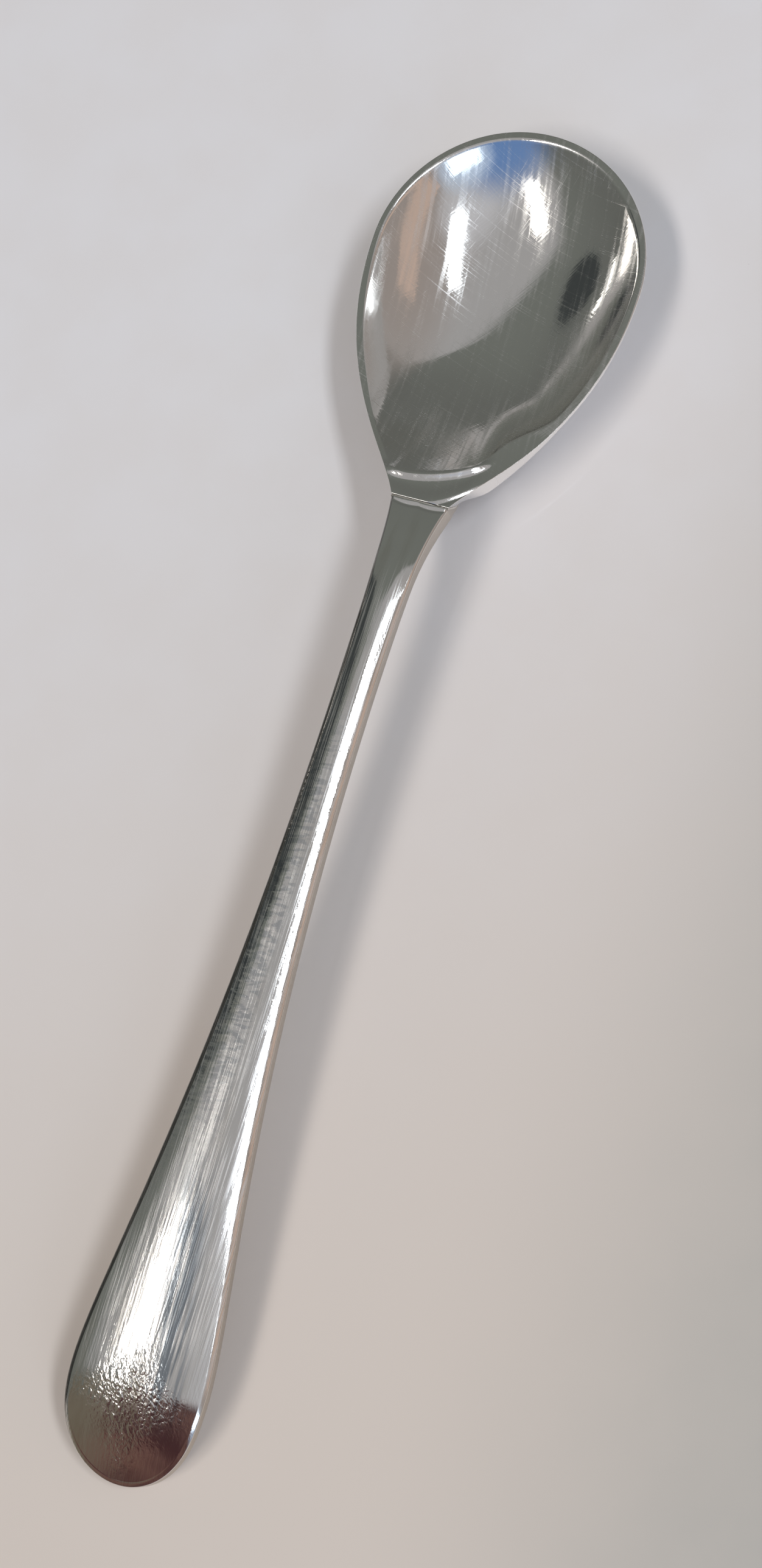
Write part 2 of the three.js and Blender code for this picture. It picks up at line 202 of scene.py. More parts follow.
class StemSizes(bpy.types.PropertyGroup):
    """Sizes of the stem."""

    root_width: size("Root width", "Width at the seam", 4.1)
    root_angle: turn("Root angle", "Spread of the edge at the seam", 11)
    root_ease: share("Root ease", "Share of the root that stays slim", 0.66)
    root_spread: share("Root spread", "Share of the root that spreads", 0.18)
    root_thickness: size("Root thickness", "Side wall at the seam", 2.1)
    root_run: size("Root run", "Length over which the side wall deepens to the seam", 7)
    waist_width: size("Waist width", "Slimmest place", 2.62)
    waist_from_seam: size("Waist from seam", "Place of the waist", 14)
    waist_thickness: size("Waist thickness", "Side wall at the waist", 1.45)
    terminal_width: size("Terminal width", "Broadest place of the handle", 9.4)
    terminal_thickness: size("Terminal thickness", "Side wall at the terminal", 1.44)
    end_run: size("End run", "From the broadest place to the end", 7.1)
    end_fullness: share("End fullness", "Roundness of the end, 2 for an ellipse", 2.56)
    slim_ease: share("Slim ease", "Share of the handle that stays slim", 0.6)
    flare_ease: share("Flare ease", "Share of the handle that stays broad", 0.12)
    arch_height: size("Arch height", "Upper edge at the peak of the arch", 8.4)
    peak_from_seam: size("Peak from seam", "Place of the peak", 6)
    dip_run: size("Dip run", "From the peak down to the level rim", 13.3)
    arch_curve: share("Arch curve", "Exponent of the arch behind its peak", 1.6)
    end_height: size("End height", "Upper edge at the very end", 1.3)
    turn_down: size("Turn down", "Extra fall of the turned-down end", 2)
    turn_run: size("Turn run", "Length of the turned-down end", 7)
    end_rest: size("End rest", "Length of the worn flat under the end", 0.65)
    waist_crown: size("Waist crown", "Rise of the upper face's arc at the waist", 0.05)
    terminal_crown: size("Terminal crown", "Rise of the upper face's arc at the terminal", 0.5)
    end_flattening: share("End flattening", "Share of the crown lost at the end", 0.8)
    crown_start: size("Crown start", "From the seam to where the crown starts", 3)
    crown_run: size("Crown run", "Length over which it rises", 5)
    bevel_slope: share("Bevel slope", "Slope of the worn bevels beside the upper face", 0.42)
    bevel_width: size("Bevel width", "Width of the plain bevel", 0.45)
    bevel_blend: size("Bevel blend", "Width of the turn from face to bevel", 0.6)
    bevel_end: size("Bevel end", "From the end to where the bevels have run out", 12)
    bevel_fade: size("Bevel fade", "Length over which they run out", 8)
    chamfer_width: size("Chamfer width", "Width of the chamfer along the upper edges", 0.29)
    chamfer_drop: size("Chamfer drop", "Height of that chamfer", 0.2)
    arris: size("Arris", "Rounding of the chamfer's two edges", 0.05)
    keel: size("Keel", "Fall of the under face at the waist", 0.85)
    lower_round: size("Lower rounding", "Rounding of the lower edges", 0.4)


class JointSizes(bpy.types.PropertyGroup):
    """Sizes of the soldered scarf joint, of the heel over it and of the drop under the bowl."""

    solder: size("Solder", "Gap between heel and stem that the solder fills", 0.14)
    fit: size("Fit", "Clearance on each side of the solder", 0.01)
    scarf_run: size("Scarf run", "Lean of the heel's cut", 1)
    scarf_fade: size("Scarf fade", "Length of shoulder that takes up the lean", 3)
    groove: size("Groove", "Depth of the seam below the two upper faces", 0.03)
    groove_round: size("Groove rounding", "Rounding of the stem's edge at the seam", 0.06)
    roll_height: size("Roll height", "Height of the low roll along the hollow's end", 0.32)
    roll_width: size("Roll width", "Half width of that roll", 0.4)
    step_height: size("Step height", "Step from the stem up to the heel", 0.1)
    step_width: size("Step width", "Width of that step", 0.42)
    step_fade: size("Step fade", "Length over which the heel comes back to its plain height", 1.3)
    step_skew: share("Step skew", "How much one end of the step leads the other", 0.22)
    step_bow: size("Step bow", "How far both ends lead the middle", 0.6)
    foot_depth: size("Foot depth", "Depth of the crease at the foot of the step", 0.04)
    foot_width: size("Foot width", "Half width of that crease", 0.12)
    drop_depth: size("Drop depth", "Fall of the drop's middle below its edges", 0.9)
    drop_edge: size("Drop edge", "Height of the drop's edges at the seam", 0.35)
    drop_end_edge: size("Drop end edge", "Height of its edges at the far end", 0.12)
    drop_end_share: share("Drop end share", "Width left at the drop's far end", 0.35)
    drop_end_round: share("Drop end round", "How late the drop starts to close", 5)
    drop_reach: share("Drop reach", "Share of the belly that the drop runs under", 0.5)


class SilverFinish(bpy.types.PropertyGroup):
    """Colours and wear of the silver, and the painted reflection and shade on the stem."""

    silver: colour("Silver", "Polished silver", (0.9, 0.885, 0.865))
    tarnish: colour("Tarnish", "Silver that has dulled", (0.66, 0.61, 0.54))
    # Near-upright side walls of the stem: partly real tarnish of the unpolished sides, partly painted
    # shade
    side: colour("Side", "Tarnished side walls of the stem", (0.5, 0.45, 0.39))
    # Painted shade: the chamfer and walls that face +Y only are painted dark, standing in for a dark
    # reflection, not tarnish
    edge: colour("Edge", "Tarnish in the chamfer along one side", (0.22, 0.21, 0.2))
    # Painted reflection: a bluish colour on the terminal and in the ripples that stands in for reflected
    # light, not tarnish
    painted_reflection: colour("Stain", "Bluish tarnish on the terminal and in the ripples", (0.38, 0.42, 0.46))
    solder: colour("Solder", "Silver solder", (0.78, 0.75, 0.69))
    bowl_dulling: share("Bowl dulling", "Most tarnish in the bowl", 0.35)
    stem_dulling: share("Stem dulling", "Most tarnish on the stem", 0.5)
    # Share of the painted bluish reflection in the ripples
    ripple_reflection: share("Ripple stain", "Most of the bluish tarnish in the ripples", 0.45)
    bowl_roughness: share("Bowl roughness", "Roughness of the polished bowl", 0.045)
    smudge_roughness: share("Smudge roughness", "Further roughness in the bowl's smudges", 0.1)
    polish_roughness: share("Polish roughness", "Further roughness in its polishing marks", 0.16)
    stem_roughness: share("Stem roughness", "Roughness of the stem", 0.05)
    terminal_roughness: share("Terminal roughness", "Roughness of the worn terminal", 0.07)
    solder_roughness: share("Solder roughness", "Roughness of the solder", 0.25)
    file_roughness: share("File roughness", "Further roughness in its file marks", 0.15)
    side_roughness: share("Side roughness", "Roughness of the dull side walls", 0.3)
    worn_roughness: share("Worn roughness", "Further roughness of the worn place near the end", 0.05)
    brushed_roughness: share("Brushed roughness", "Further roughness in the stem's fine streaks", 0.32)
    scratch_roughness: share("Scratch roughness", "Further roughness in the bowl's scratches", 0.22)
    streak_depth: size("Streak depth", "Depth of the lengthwise polishing streaks", 0.014)
    scratch_depth: size("Scratch depth", "Depth of the fine scratches", 0.003)
    ripple_depth: size("Ripple depth", "Depth of the ripples across the stem", 0.03)
    wave_depth: size("Wave depth", "Depth of the hand-worked unevenness", 0.04)
    pit_depth: size("Pit depth", "Depth of single pits", 0.03)
    crease_depth: size("Crease depth", "Depth of the worn creases near the end", 0.16)
    nick_depth: size("Nick depth", "Depth of the few nicks", 0.05)


class StemWear(bpy.types.PropertyGroup):
    """Where the stem is worn and where its painted bluish reflection lies, measured from the end of the
    handle.
    """

    crease_place: size("Crease place", "Middle of the worn creases", 5.2)
    crease_core: size("Crease core", "From their middle to where they start to fade", 1.5)
    crease_reach: size("Crease reach", "From their middle to where they are gone", 5.5)
    streak_fade: size("Streak fade", "Where the polishing streaks start to fade", 15)
    streak_end: size("Streak end", "Where they are gone", 37)
    ripple_start: size("Ripple start", "Where the ripples start", 19)
    ripple_full: size("Ripple full", "Where they are at their deepest", 31)
    ripple_fade: size("Ripple fade", "Where they start to fade", 47)
    ripple_end: size("Ripple end", "Where they are gone", 55)
    # Across the stem, the painted bluish reflection in the ripples starts at ripple_edge and is whole at
    # ripple_inside
    ripple_edge: size("Ripple edge", "Where their tarnish starts, across the stem", -0.6)
    ripple_inside: size("Ripple inside", "Where it is at its darkest, across the stem", -0.1)
    # Painted reflection: a bluish band along the terminal, placed by the sizes below
    reflection_start: size("Stain start", "Where the bluish band starts", 3)
    reflection_full: size("Stain full", "Where it is at its darkest", 7)
    reflection_fade: size("Stain fade", "Where it starts to fade", 17)
    reflection_end: size("Stain end", "Where it is gone", 24)
    reflection_aside: size("Stain aside", "Place of its middle line across the end", -2.96)
    reflection_slant: share("Stain slant", "Sideways run of that line over its length", 0.14)
    reflection_core: size("Stain core", "From that line to where the band starts to fade", 0.4)
    reflection_reach: size("Stain reach", "From that line to where it is gone", 1.7)
    brushed_start: size("Brushed start", "Where the fine streaks start to show", 6)
    brushed_full: size("Brushed full", "Where they show most", 13)
    brushed_fade: size("Brushed fade", "Where they start to fade", 60)
    brushed_end: size("Brushed end", "Where they have faded", 67)
    brushed_before: share("Brushed before", "Share of them that shows at the end", 0.15)
    brushed_after: share("Brushed after", "Share of them that shows at the root", 0.2)


class StageSetup(bpy.types.PropertyGroup):
    """Table, room, lights and camera."""

    table: colour("Table", "Pale table top", (0.7, 0.675, 0.68))
    # Painted shade: the table top turns darker and warmer towards the handle's end, as the light falls
    # off; the mottling also mixes in this tone at random
    table_near: colour("Near table", "Table top towards the handle's end", (0.61, 0.535, 0.48))
    # Painted shade: the table top darkens towards its -Y side
    table_shade: colour("Shaded table", "Table top towards its shaded side", (0.41, 0.39, 0.36))
    table_half: size("Table half", "From the middle of the table top to its sides", 2000)
    table_spread: size("Table spread", "Length over which the first two tones blend", 110)
    table_slant: share("Table slant", "How far that blend runs across the spoon", 0.7)
    shade_start: size("Shade start", "Where the shaded side begins, across the spoon", -13)
    shade_full: size("Shade full", "Where it is at its darkest", -48)
    mottle: share("Mottle", "Most of the near tone in the table's mottling", 0.12)
    speck: colour("Speck", "Dark specks on the table", (0.12, 0.11, 0.1))
    speck_strength: share("Speck strength", "How much of that colour they show", 0.6)
    table_roughness: share("Table roughness", "Roughness of the table top", 0.5)
    coat: share("Coat", "Strength of its clear coat", 0.5)
    coat_roughness: share("Coat roughness", "Roughness of that coat", 0.06)
    grain_depth: size("Grain depth", "Depth of the coat's fine grain", 0.002)
    room: colour("Room", "Walls of the dim room", (0.125, 0.13, 0.12))
    backdrop: colour("Backdrop", "What the camera sees past the table", (0.6, 0.58, 0.57))
    flag: colour("Flag", "Cloth of the flag beyond the handle's end", (0.36, 0.2, 0.17))
    flag_dark: colour("Dark flag", "Its darker places", (0.13, 0.05, 0.055))
    flag_side: colour("Flag side", "Its left side", (0.36, 0.33, 0.26))
    flag_side_start: size("Flag side start", "From its middle to where that side begins", 3)
    flag_side_full: size("Flag side full", "From its middle to where that side is plain", 16)
    flag_roughness: share("Flag roughness", "Roughness of the cloth", 0.9)
    flag_width: size("Flag width", "Width of the flag", 72)
    flag_height: size("Flag height", "Height of the flag", 52)
    flag_fade: size("Flag fade", "Length over which it thins out to its top and sides", 12)
    flag_foot_fade: size("Flag foot fade", "Length over which it thins out to its foot", 3)
    flag_away: size("Flag away", "From the handle's end to the foot of the flag", 26)
    flag_lean: size("Flag lean", "How far its top leans over towards the spoon", 17)
    light_height: size("Light height", "Height of the two strip lights over the table", 2000)
    light_turn: turn("Light turn", "Turn of the strip lights about the upright", 24)
    light_length: share("Light length", "Length of a strip light over its height", 0.57)
    light_width: share("Light width", "Width of a strip light over its height", 0.17)
    radiance: FloatProperty(
        name="Radiance", description="Brightness of the strip lights", default=6, subtype="NONE"
    )
    fill: FloatProperty(
        name="Fill", description="Their further brightness for the table alone", default=15, subtype="NONE"
    )
    eye: FloatVectorProperty(
        name="Eye",
        description="Place of the camera",
        default=(-30.606 * MM, -39.394 * MM, 162.75 * MM),
        subtype="XYZ",
        unit="LENGTH",
        precision=5,
    )
    yaw: turn("Yaw", "Turn of the camera about the upright", -40.34)
    tilt: turn("Tilt", "Lean of the camera from straight down", 16.79)
    roll: turn("Roll", "Turn of the camera about its own axis", -32.62)
    lens: FloatProperty(
        name="Lens", description="Focal length in millimetres", default=55.9, subtype="NONE"
    )
    sensor: FloatProperty(
        name="Sensor", description="Long side of the sensor in millimetres", default=36, subtype="NONE"
    )
    near: size("Near", "Nearest distance that the camera sees", 5)


class SaltSpoon(bpy.types.PropertyGroup):
    """Everything that makes up the spoon and its stage."""

    bowl: PointerProperty(type=BowlSizes)
    stem: PointerProperty(type=StemSizes)
    joint: PointerProperty(type=JointSizes)
    finish: PointerProperty(type=SilverFinish)
    wear: PointerProperty(type=StemWear)
    stage: PointerProperty(type=StageSetup)


# Curves


def lerp(a, b, t):
    """Straight mix of a and b."""
    return a + (b - a) * t


def smooth(x, low, high):
    """Smooth step: 0 up to low, 1 from high, 3tt - 2ttt between."""
    t = np.clip((x - low) / (high - low), 0, 1)
    return t * t * (3 - 2 * t)


def bell(x, half_width):
    """Bell curve: 1 in the middle, e to the power of minus the squared distance in half widths."""
    return np.exp(-((x / half_width) ** 2))


def bezier(a, b, c, d, t):
    """Cubic Bezier curve from a to d, drawn towards b and c, at the shares t."""
    a, b, c, d = (np.array(p) for p in (a, b, c, d))
    t = t[:, None]
    return a * (1 - t) ** 3 + 3 * b * t * (1 - t) ** 2 + 3 * c * t**2 * (1 - t) + d * t**3


def quarter(run, half, fullness, steps):
    """Quarter superellipse: run times cos^(2/fullness), half times sin, over a quarter turn."""
    angle = np.linspace(0, np.pi / 2, steps + 1)
    return np.stack([run * np.cos(angle).clip(0) ** (2 / fullness), half * np.sin(angle)], axis=1)


def unit_steps(curve):
    """Unit vectors along a curve of points."""
    along = np.gradient(curve, axis=0)
    return along / np.linalg.norm(along, axis=1, keepdims=True)


def looped(half):
    """Closed outline of a half outline and its mirror image."""
    return np.concatenate([half, half[-2:0:-1] * (1, -1)])


def raised(plan, height):
    """Points of a plan at the given heights."""
    height = np.broadcast_to(height, plan.shape[:-1])
    return np.concatenate([plan, height[..., None]], axis=-1)


def eased(start, corner, finish, steps):
    """Rounded corner: quadratic Bezier curves from start to finish, drawn to the corner."""
    t = np.linspace(0, 1, steps + 1).reshape(-1, *[1] * np.ndim(start))
    return start * (1 - t) ** 2 + corner * 2 * t * (1 - t) + finish * t**2


class Plan:
    """Places, outlines and heights of the spoon, worked out from its sizes."""

    def __init__(self, spoon):
        self.bowl, self.stem, self.joint = spoon.bowl, spoon.stem, spoon.joint
        bowl, stem = self.bowl, self.stem
        self.end, self.tip = CAD_BOX[0].x, CAD_BOX[1].x
        self.widest = self.tip - bowl.tip_run
        self.seam = self.tip - bowl.length
        self.front = self.seam - self.joint.solder
        self.lip = self.seam + bowl.lip
        self.belly = np.array([self.tip - bowl.belly_from_tip, 0])
        self.peak = self.seam - stem.peak_from_seam
        self.level = self.peak + stem.dip_run
        self.waist = self.seam - stem.waist_from_seam
        self.flare = self.end + stem.end_run
        self.rim = looped(self.rim_half())
        self.hollow = looped(self.hollow_half())
        near = 1 - smooth(self.hollow[:, 0], self.lip, self.lip + bowl.heel_run)
        self.hollow[:, 0] += near * self.lip_lead(self.hollow[:, 1])
        lean = 1 - smooth(self.rim[:, 0], self.seam, self.seam + self.joint.scarf_fade)
        self.foot = self.rim + lean[:, None] * (self.joint.scarf_run, 0)

    def turn_share(self, x):
        """Squared share of the turned-down end that lies ahead: 1 at the end, 0 where it begins."""
        run = self.stem.turn_run
        return (np.clip(self.end + run - x, 0, None) / run) ** 2

    def edge_height(self, x):
        """Upper edge: an arch behind its peak, a dip to the rim, a droop and a turned-down end."""
        bowl, stem = self.bowl, self.stem
        behind = np.clip(self.peak - x, 0, None) / (self.peak - self.end)
        ahead = np.clip(x - self.level, 0, None) / (self.tip - self.level)
        fall = (stem.arch_height - stem.end_height - stem.turn_down) * behind**stem.arch_curve
        dip = (stem.arch_height - bowl.rim_height) * smooth(x, self.peak, self.level)
        turned = stem.turn_down * self.turn_share(x)
        return stem.arch_height - fall - dip - turned - bowl.rim_droop * ahead**2

    def lip_lead(self, y):
        """How far the hollow's end runs ahead of its middle: a skew and a bow."""
        bowl, root = self.bowl, self.stem.root_width / 2
        across = np.minimum(np.abs(y) / root, RELIEF_GONE)
        return bowl.lip_bow * across**2 / 2 - bowl.lip_skew * y

    def relief(self, x, y):
        """Hand-worked heel: a low roll along the hollow's end, a step at the seam that fades
        towards the bowl, and a crease along the foot of the step.
        """
        joint, root = self.joint, self.stem.root_width / 2
        across = np.minimum(np.abs(y) / root, RELIEF_GONE)
        step = self.seam + joint.step_bow * across**2 - joint.step_skew * y
        roll = joint.roll_height * bell(x - self.lip - self.lip_lead(y), joint.roll_width)
        climb = smooth(x, step - joint.step_width, step) * (1 - smooth(x, step, step + joint.step_fade))
        foot = bell(x - step + joint.step_width, joint.foot_width)
        shown = 1 - smooth(across, RELIEF_WHOLE, RELIEF_GONE)
        return (roll + joint.step_height * climb - joint.foot_depth * foot) * shown

    def face_height(self, places):
        """Height of the upper face of rim and heel."""
        return self.edge_height(places[..., 0]) + self.relief(places[..., 0], places[..., 1])

    def shoulder(self, t):
        """Bezier shoulder of the rim, from its widest place to the seam."""
        bowl, half, root = self.bowl, self.bowl.width / 2, self.stem.root_width / 2
        run = self.widest - self.seam
        reach = run * bowl.neck_ease
        neck = (self.seam + reach * math.cos(bowl.neck_angle), root + reach * math.sin(bowl.neck_angle))
        ease = (self.widest - run * bowl.shoulder_ease, half)
        return bezier((self.widest, half), ease, neck, (self.seam, root), t)

    def rim_half(self):
        """Half outline of the rim: superellipse tip, Bezier shoulder, straight half of the seam."""
        bowl = self.bowl
        tip = quarter(bowl.tip_run, bowl.width / 2, bowl.tip_fullness, TIP_STEPS) + (self.widest, 0)
        shoulder = self.shoulder(np.linspace(0, 1, SHOULDER_STEPS + 1)[1:])
        across = self.stem.root_width / 2 * (1 - np.linspace(0, 1, SEAM_STEPS + 1)[1:])
        seam = np.stack([np.full(SEAM_STEPS, self.seam), across], axis=1)
        return np.concatenate([tip, shoulder, seam])

    def hollow_half(self):
        """Half outline of the hollow: superellipse tip, a side that runs a band's width inside the
        shoulder, a rounded corner and a straight end across the heel.
        """
        bowl, half = self.bowl, self.bowl.width / 2 - self.bowl.side_band
        tip_run = bowl.tip_run - bowl.rim_band
        tip = quarter(tip_run, half, bowl.tip_fullness, TIP_STEPS) + (self.widest, 0)
        fine = self.shoulder(np.linspace(0, 1, FINE_STEPS))
        along = unit_steps(fine)
        inner = fine + bowl.side_band * np.stack([-along[:, 1], along[:, 0]], axis=1)
        inner = inner[inner[:, 0] > self.lip + bowl.hollow_corner]
        place = np.linspace(0, len(inner) - 1, SHOULDER_STEPS + 1)
        side = np.stack([np.interp(place, np.arange(len(inner)), column) for column in inner.T], axis=1)
        ahead = unit_steps(side)[-1]
        corner = side[-1] + ahead * (self.lip - side[-1, 0]) / ahead[0]
        turned = corner - (0, bowl.hollow_corner)
        rounded = eased(side[-1], corner, turned, CORNER_STEPS)
        straight = turned * (1, 0) + np.outer(
            np.linspace(turned[1], 0, SEAM_STEPS - CORNER_STEPS + 1), (0, 1)
        )
        return np.concatenate([tip, side[1:], rounded[1:], straight[1:]])

    def rise(self, out, full):
        """Height share of a round-bottomed wall: a circle's arc, scaled to end at 1."""
        return (1 - np.sqrt(1 - (full * out) ** 2)) / (1 - np.sqrt(1 - full**2))

    def contour(self, outline, half, out):
        """Contours of a wall: an ellipse about the belly that takes on the outline further out."""
        run = self.bowl.belly_from_tip
        away = outline - self.belly
        angle = np.arctan2(away[..., 1] / half, away[..., 0] / run)
        ellipse = np.stack([run * np.cos(angle), half * np.sin(angle)], axis=-1)
        out = out[..., None]
        return self.belly + lerp(ellipse, away, out**self.bowl.belly_neck) * out

    def foot_height(self):
        """Foot of the outer wall: deep under the heel, close under the rim round the bowl."""
        bowl, x = self.bowl, self.rim[:, 0]
        start = self.seam + bowl.wall_fade_start
        fade = smooth(x, start, start + bowl.wall_fade_run)
        return self.edge_height(x) - lerp(self.stem.root_thickness, bowl.rim_edge, fade)

    def hollow_wall(self, out):
        """Inside of the bowl: level contours near the floor, which take on the rim's own height.
        Its walls are arcs, and towards the heel they give way to a gentler curve: a square less a
        little of the fourth power.
        """
        bowl = self.bowl
        heel = 1 - smooth(self.hollow[:, 0], self.lip, self.lip + bowl.heel_run)
        gentle = (1 + bowl.heel_ease) * out**2 - bowl.heel_ease * out**4
        rise = lerp(self.rise(out, bowl.belly_fullness), gentle, heel)
        places = self.contour(self.hollow, bowl.width / 2 - bowl.rim_band, out)
        level = lerp(bowl.floor, bowl.rim_height, rise)
        taken = out ** lerp(RIM_POWER, HEEL_POWER, heel)
        lift = (self.face_height(self.hollow) - bowl.rim_height) * taken
        return raised(places, level + lift)

    def band(self, out):
        """Rim and heel, at a share of the way from the hollow's edge to the outer edge."""
        places = lerp(self.hollow, self.rim, np.asarray(out)[..., None])
        return raised(places, self.face_height(places))

    def outer_wall(self, fall):
        """Outer wall, at a share of the way from the rim down to its foot."""
        top = raised(self.rim, self.face_height(self.rim))
        return lerp(top, raised(self.foot, self.foot_height()), fall[..., None])

    def belly_surface(self, foot, foot_height, out):
        """Outside of the bowl: level in the worn flat, and round from there out to its foot."""
        rest = self.bowl.rest / self.bowl.width
        rise = self.rise(np.clip(out - rest, 0, None) / (1 - rest), self.bowl.belly_fullness)
        return raised(self.contour(foot, self.bowl.width / 2, out), foot_height * rise)

    def belly_wall(self, out):
        """Whole outside of the bowl, at a share of the way from its middle to its foot."""
        return self.belly_surface(self.foot, self.foot_height(), out)

    def joint_surface(self, across, depth):
        """Face of the joint under the heel, sunk by a depth: down the scarf, then in under the
        belly, where it closes to the drop's round end. Also gives each row's share of the drop.
        """
        joint, root = self.joint, self.stem.root_width / 2
        upper = self.edge_height(self.seam) + self.relief(self.seam, across * root) - joint.groove
        lower = self.edge_height(self.seam) - self.stem.root_thickness
        fall = np.linspace(0, 1, SCARF_STEPS + 1)[:, None]
        drop = np.linspace(0, 1, DROP_STEPS + 1)[1:, None]
        along = self.seam + joint.scarf_run * fall + 0 * across
        scarf = np.stack([along, across * root + 0 * fall, lerp(upper, lower, fall)], axis=-1)
        kept = np.sqrt(1 - (1 - joint.drop_end_share**2) * drop**joint.drop_end_round)
        foot = np.stack([np.full_like(kept * across, along[-1, 0]), kept * across * root], axis=-1)
        belly = self.belly_surface(foot, lower, 1 - joint.drop_reach * drop + 0 * across)
        sunk = np.concatenate([fall, np.ones_like(drop)])[:, None] * (0, 0, -depth)
        rows = np.concatenate([scarf, belly]) - (depth, 0, 0) + sunk
        return rows, np.concatenate([0 * fall, drop])


# Meshes


def placed(name, data):
    """New object at the origin of the scene."""
    thing = bpy.data.objects.new(name, data)
    bpy.context.scene.collection.objects.link(thing)
    return thing


def skin(name, rows, material):
    """Closed mesh over rows of closed rings, welded where a ring shrinks to a point or folds flat."""
    rings, around = rows.shape[:2]
    place = np.arange(rings * around).reshape(rings, around)
    ahead = np.roll(place, -1, axis=1)
    faces = np.stack([place[:-1], place[1:], ahead[1:], ahead[:-1]], axis=-1).reshape(-1, 4)
    mesh = bpy.data.meshes.new(name)
    mesh.from_pydata(rows.reshape(-1, 3), [], faces)
    work = bmesh.new()
    work.from_mesh(mesh)
    bmesh.ops.remove_doubles(work, verts=work.verts, dist=WELD)
    bmesh.ops.recalc_face_normals(work, faces=work.faces)
    work.to_mesh(mesh)
    work.free()
    mesh.shade_smooth()
    mesh.set_sharp_from_angle(angle=SHARP_ANGLE)
    mesh.materials.append(material)
    return placed(name, mesh)


def ride_as(piece, node):
    """The piece stands for a CAD node, on the spoon's one body."""
    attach(piece, "root")
    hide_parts(node)


def bowl_rows(plan):
    """Rings of the bowl: up the hollow, over the rim, down the outer wall and in under the belly."""
    bowl = plan.bowl
    around = np.ones(len(plan.rim))
    width = np.linalg.norm(plan.rim - plan.hollow, axis=1)
    inner = bowl.inner_round / width
    outer = 1 - bowl.outer_round / width
    hollow_end = 1 - 2 * bowl.inner_round / bowl.width
    hollow = plan.hollow_wall(np.outer(np.linspace(0, hollow_end, HOLLOW_RINGS + 1), around))
    inner_edge = eased(hollow[-1], plan.band(0 * around), plan.band(inner), EDGE_RINGS)
    flat = plan.band(lerp(inner, outer, np.linspace(0, 1, BAND_RINGS + 1)[1:-1, None]))
    wall_height = plan.edge_height(plan.rim[:, 0]) - plan.foot_height()
    wall_start = bowl.outer_round / wall_height
    outer_edge = eased(plan.band(outer), plan.band(around), plan.outer_wall(wall_start), EDGE_RINGS)
    soft = smooth(plan.rim[:, 0], plan.seam, plan.seam + bowl.wall_fade_run)
    wall_end = 1 - FOOT_TAKEN * soft
    belly_start = 1 - soft * 2 * bowl.foot_round / bowl.width
    wall = plan.outer_wall(lerp(wall_start, wall_end, np.linspace(0, 1, EDGE_RINGS + 1)[:, None]))
    foot_corner = raised(plan.foot, plan.foot_height())
    foot = eased(wall[-1], foot_corner, plan.belly_wall(belly_start), EDGE_RINGS)
    inward = np.linspace(0, 1, BELLY_RINGS + 1)[:, None]
    belly = plan.belly_wall(belly_start * (1 - inward))
    return np.concatenate([hollow, inner_edge, flat, outer_edge, wall, foot, belly])


def stem_outline(plan):
    """Half outline of the stem from its end to the seam, and its inward normals."""
    stem = plan.stem
    half, waist, root = stem.terminal_width / 2, stem.waist_width / 2, stem.root_width / 2
    handle_run = plan.waist - plan.flare
    root_run = plan.front - plan.waist
    spread = root_run * stem.root_spread
    end = quarter(stem.end_run, half, stem.end_fullness, END_STEPS) * (-1, 1) + (plan.flare, 0)
    handle = bezier(
        (plan.flare, half),
        (plan.flare + handle_run * stem.flare_ease, half),
        (plan.waist - handle_run * stem.slim_ease, waist),
        (plan.waist, waist),
        np.linspace(0, 1, HANDLE_STEPS + 1)[1:],
    )
    root_edge = bezier(
        (plan.waist, waist),
        (plan.waist + root_run * stem.root_ease, waist),
        (plan.front - spread, root - spread * math.tan(stem.root_angle)),
        (plan.front, root),
        1 - (1 - np.linspace(0, 1, ROOT_STEPS + 1)[1:]) ** ROOT_CROWDING,
    )
    outline = np.concatenate([end, handle, root_edge])
    along = unit_steps(outline)
    along[0] = (0, 1)
    return outline, np.stack([along[:, 1], -along[:, 0]], axis=1)


def closed_rings(half):
    """Closed rings of half sections that start and end in the middle, and their mirror images."""
    return np.concatenate([half, half[:, -2:0:-1] * (1, -1, 1)], axis=1)


def side_height(plan, x):
    """Side wall of the stem: much the same along the handle, and deeper at the seam."""
    stem = plan.stem
    waist = lerp(stem.terminal_thickness, stem.waist_thickness, smooth(x, plan.flare, plan.waist))
    return lerp(waist, stem.root_thickness, smooth(x, plan.seam - stem.root_run, plan.seam))


def lower_height(plan, x):
    """Lower edge of the stem. The end thickens as it turns down, so that its flat meets the table."""
    rest = plan.end + plan.stem.end_rest
    plain = plan.edge_height(x) - side_height(plan, x)
    at_rest = plan.edge_height(rest) - side_height(plan, rest)
    return np.clip(plain - at_rest * plan.turn_share(x) / plan.turn_share(rest), 0, None)


def keel_depth(plan, x):
    """Fall of the under face below its edges: flat at the terminal, deepest over the drop."""
    keel = plan.stem.keel * smooth(x, plan.flare, plan.waist)
    return keel + (plan.joint.drop_depth - plan.stem.keel) * smooth(x, plan.waist, plan.seam)


def upper_edge(plan, x, at_stem, at_seam):
    """A measure of the upper edge that changes from the stem's value to the bowl's at the seam."""
    return lerp(at_stem, at_seam, smooth(x, plan.waist, plan.seam - plan.stem.crown_start))


def crown_arc(plan, x, half):
    """Rise of the parabola across the upper face."""
    stem = plan.stem
    start = plan.seam - stem.crown_start
    shown = 1 - smooth(x, start - stem.crown_run, start)
    rounding = np.where(x < plan.flare, (2 * half / stem.terminal_width) ** 2, 1)
    kept = shown * rounding * (1 - stem.end_flattening * plan.turn_share(x))
    return kept * lerp(stem.terminal_crown, stem.waist_crown, smooth(x, plan.flare, plan.waist))


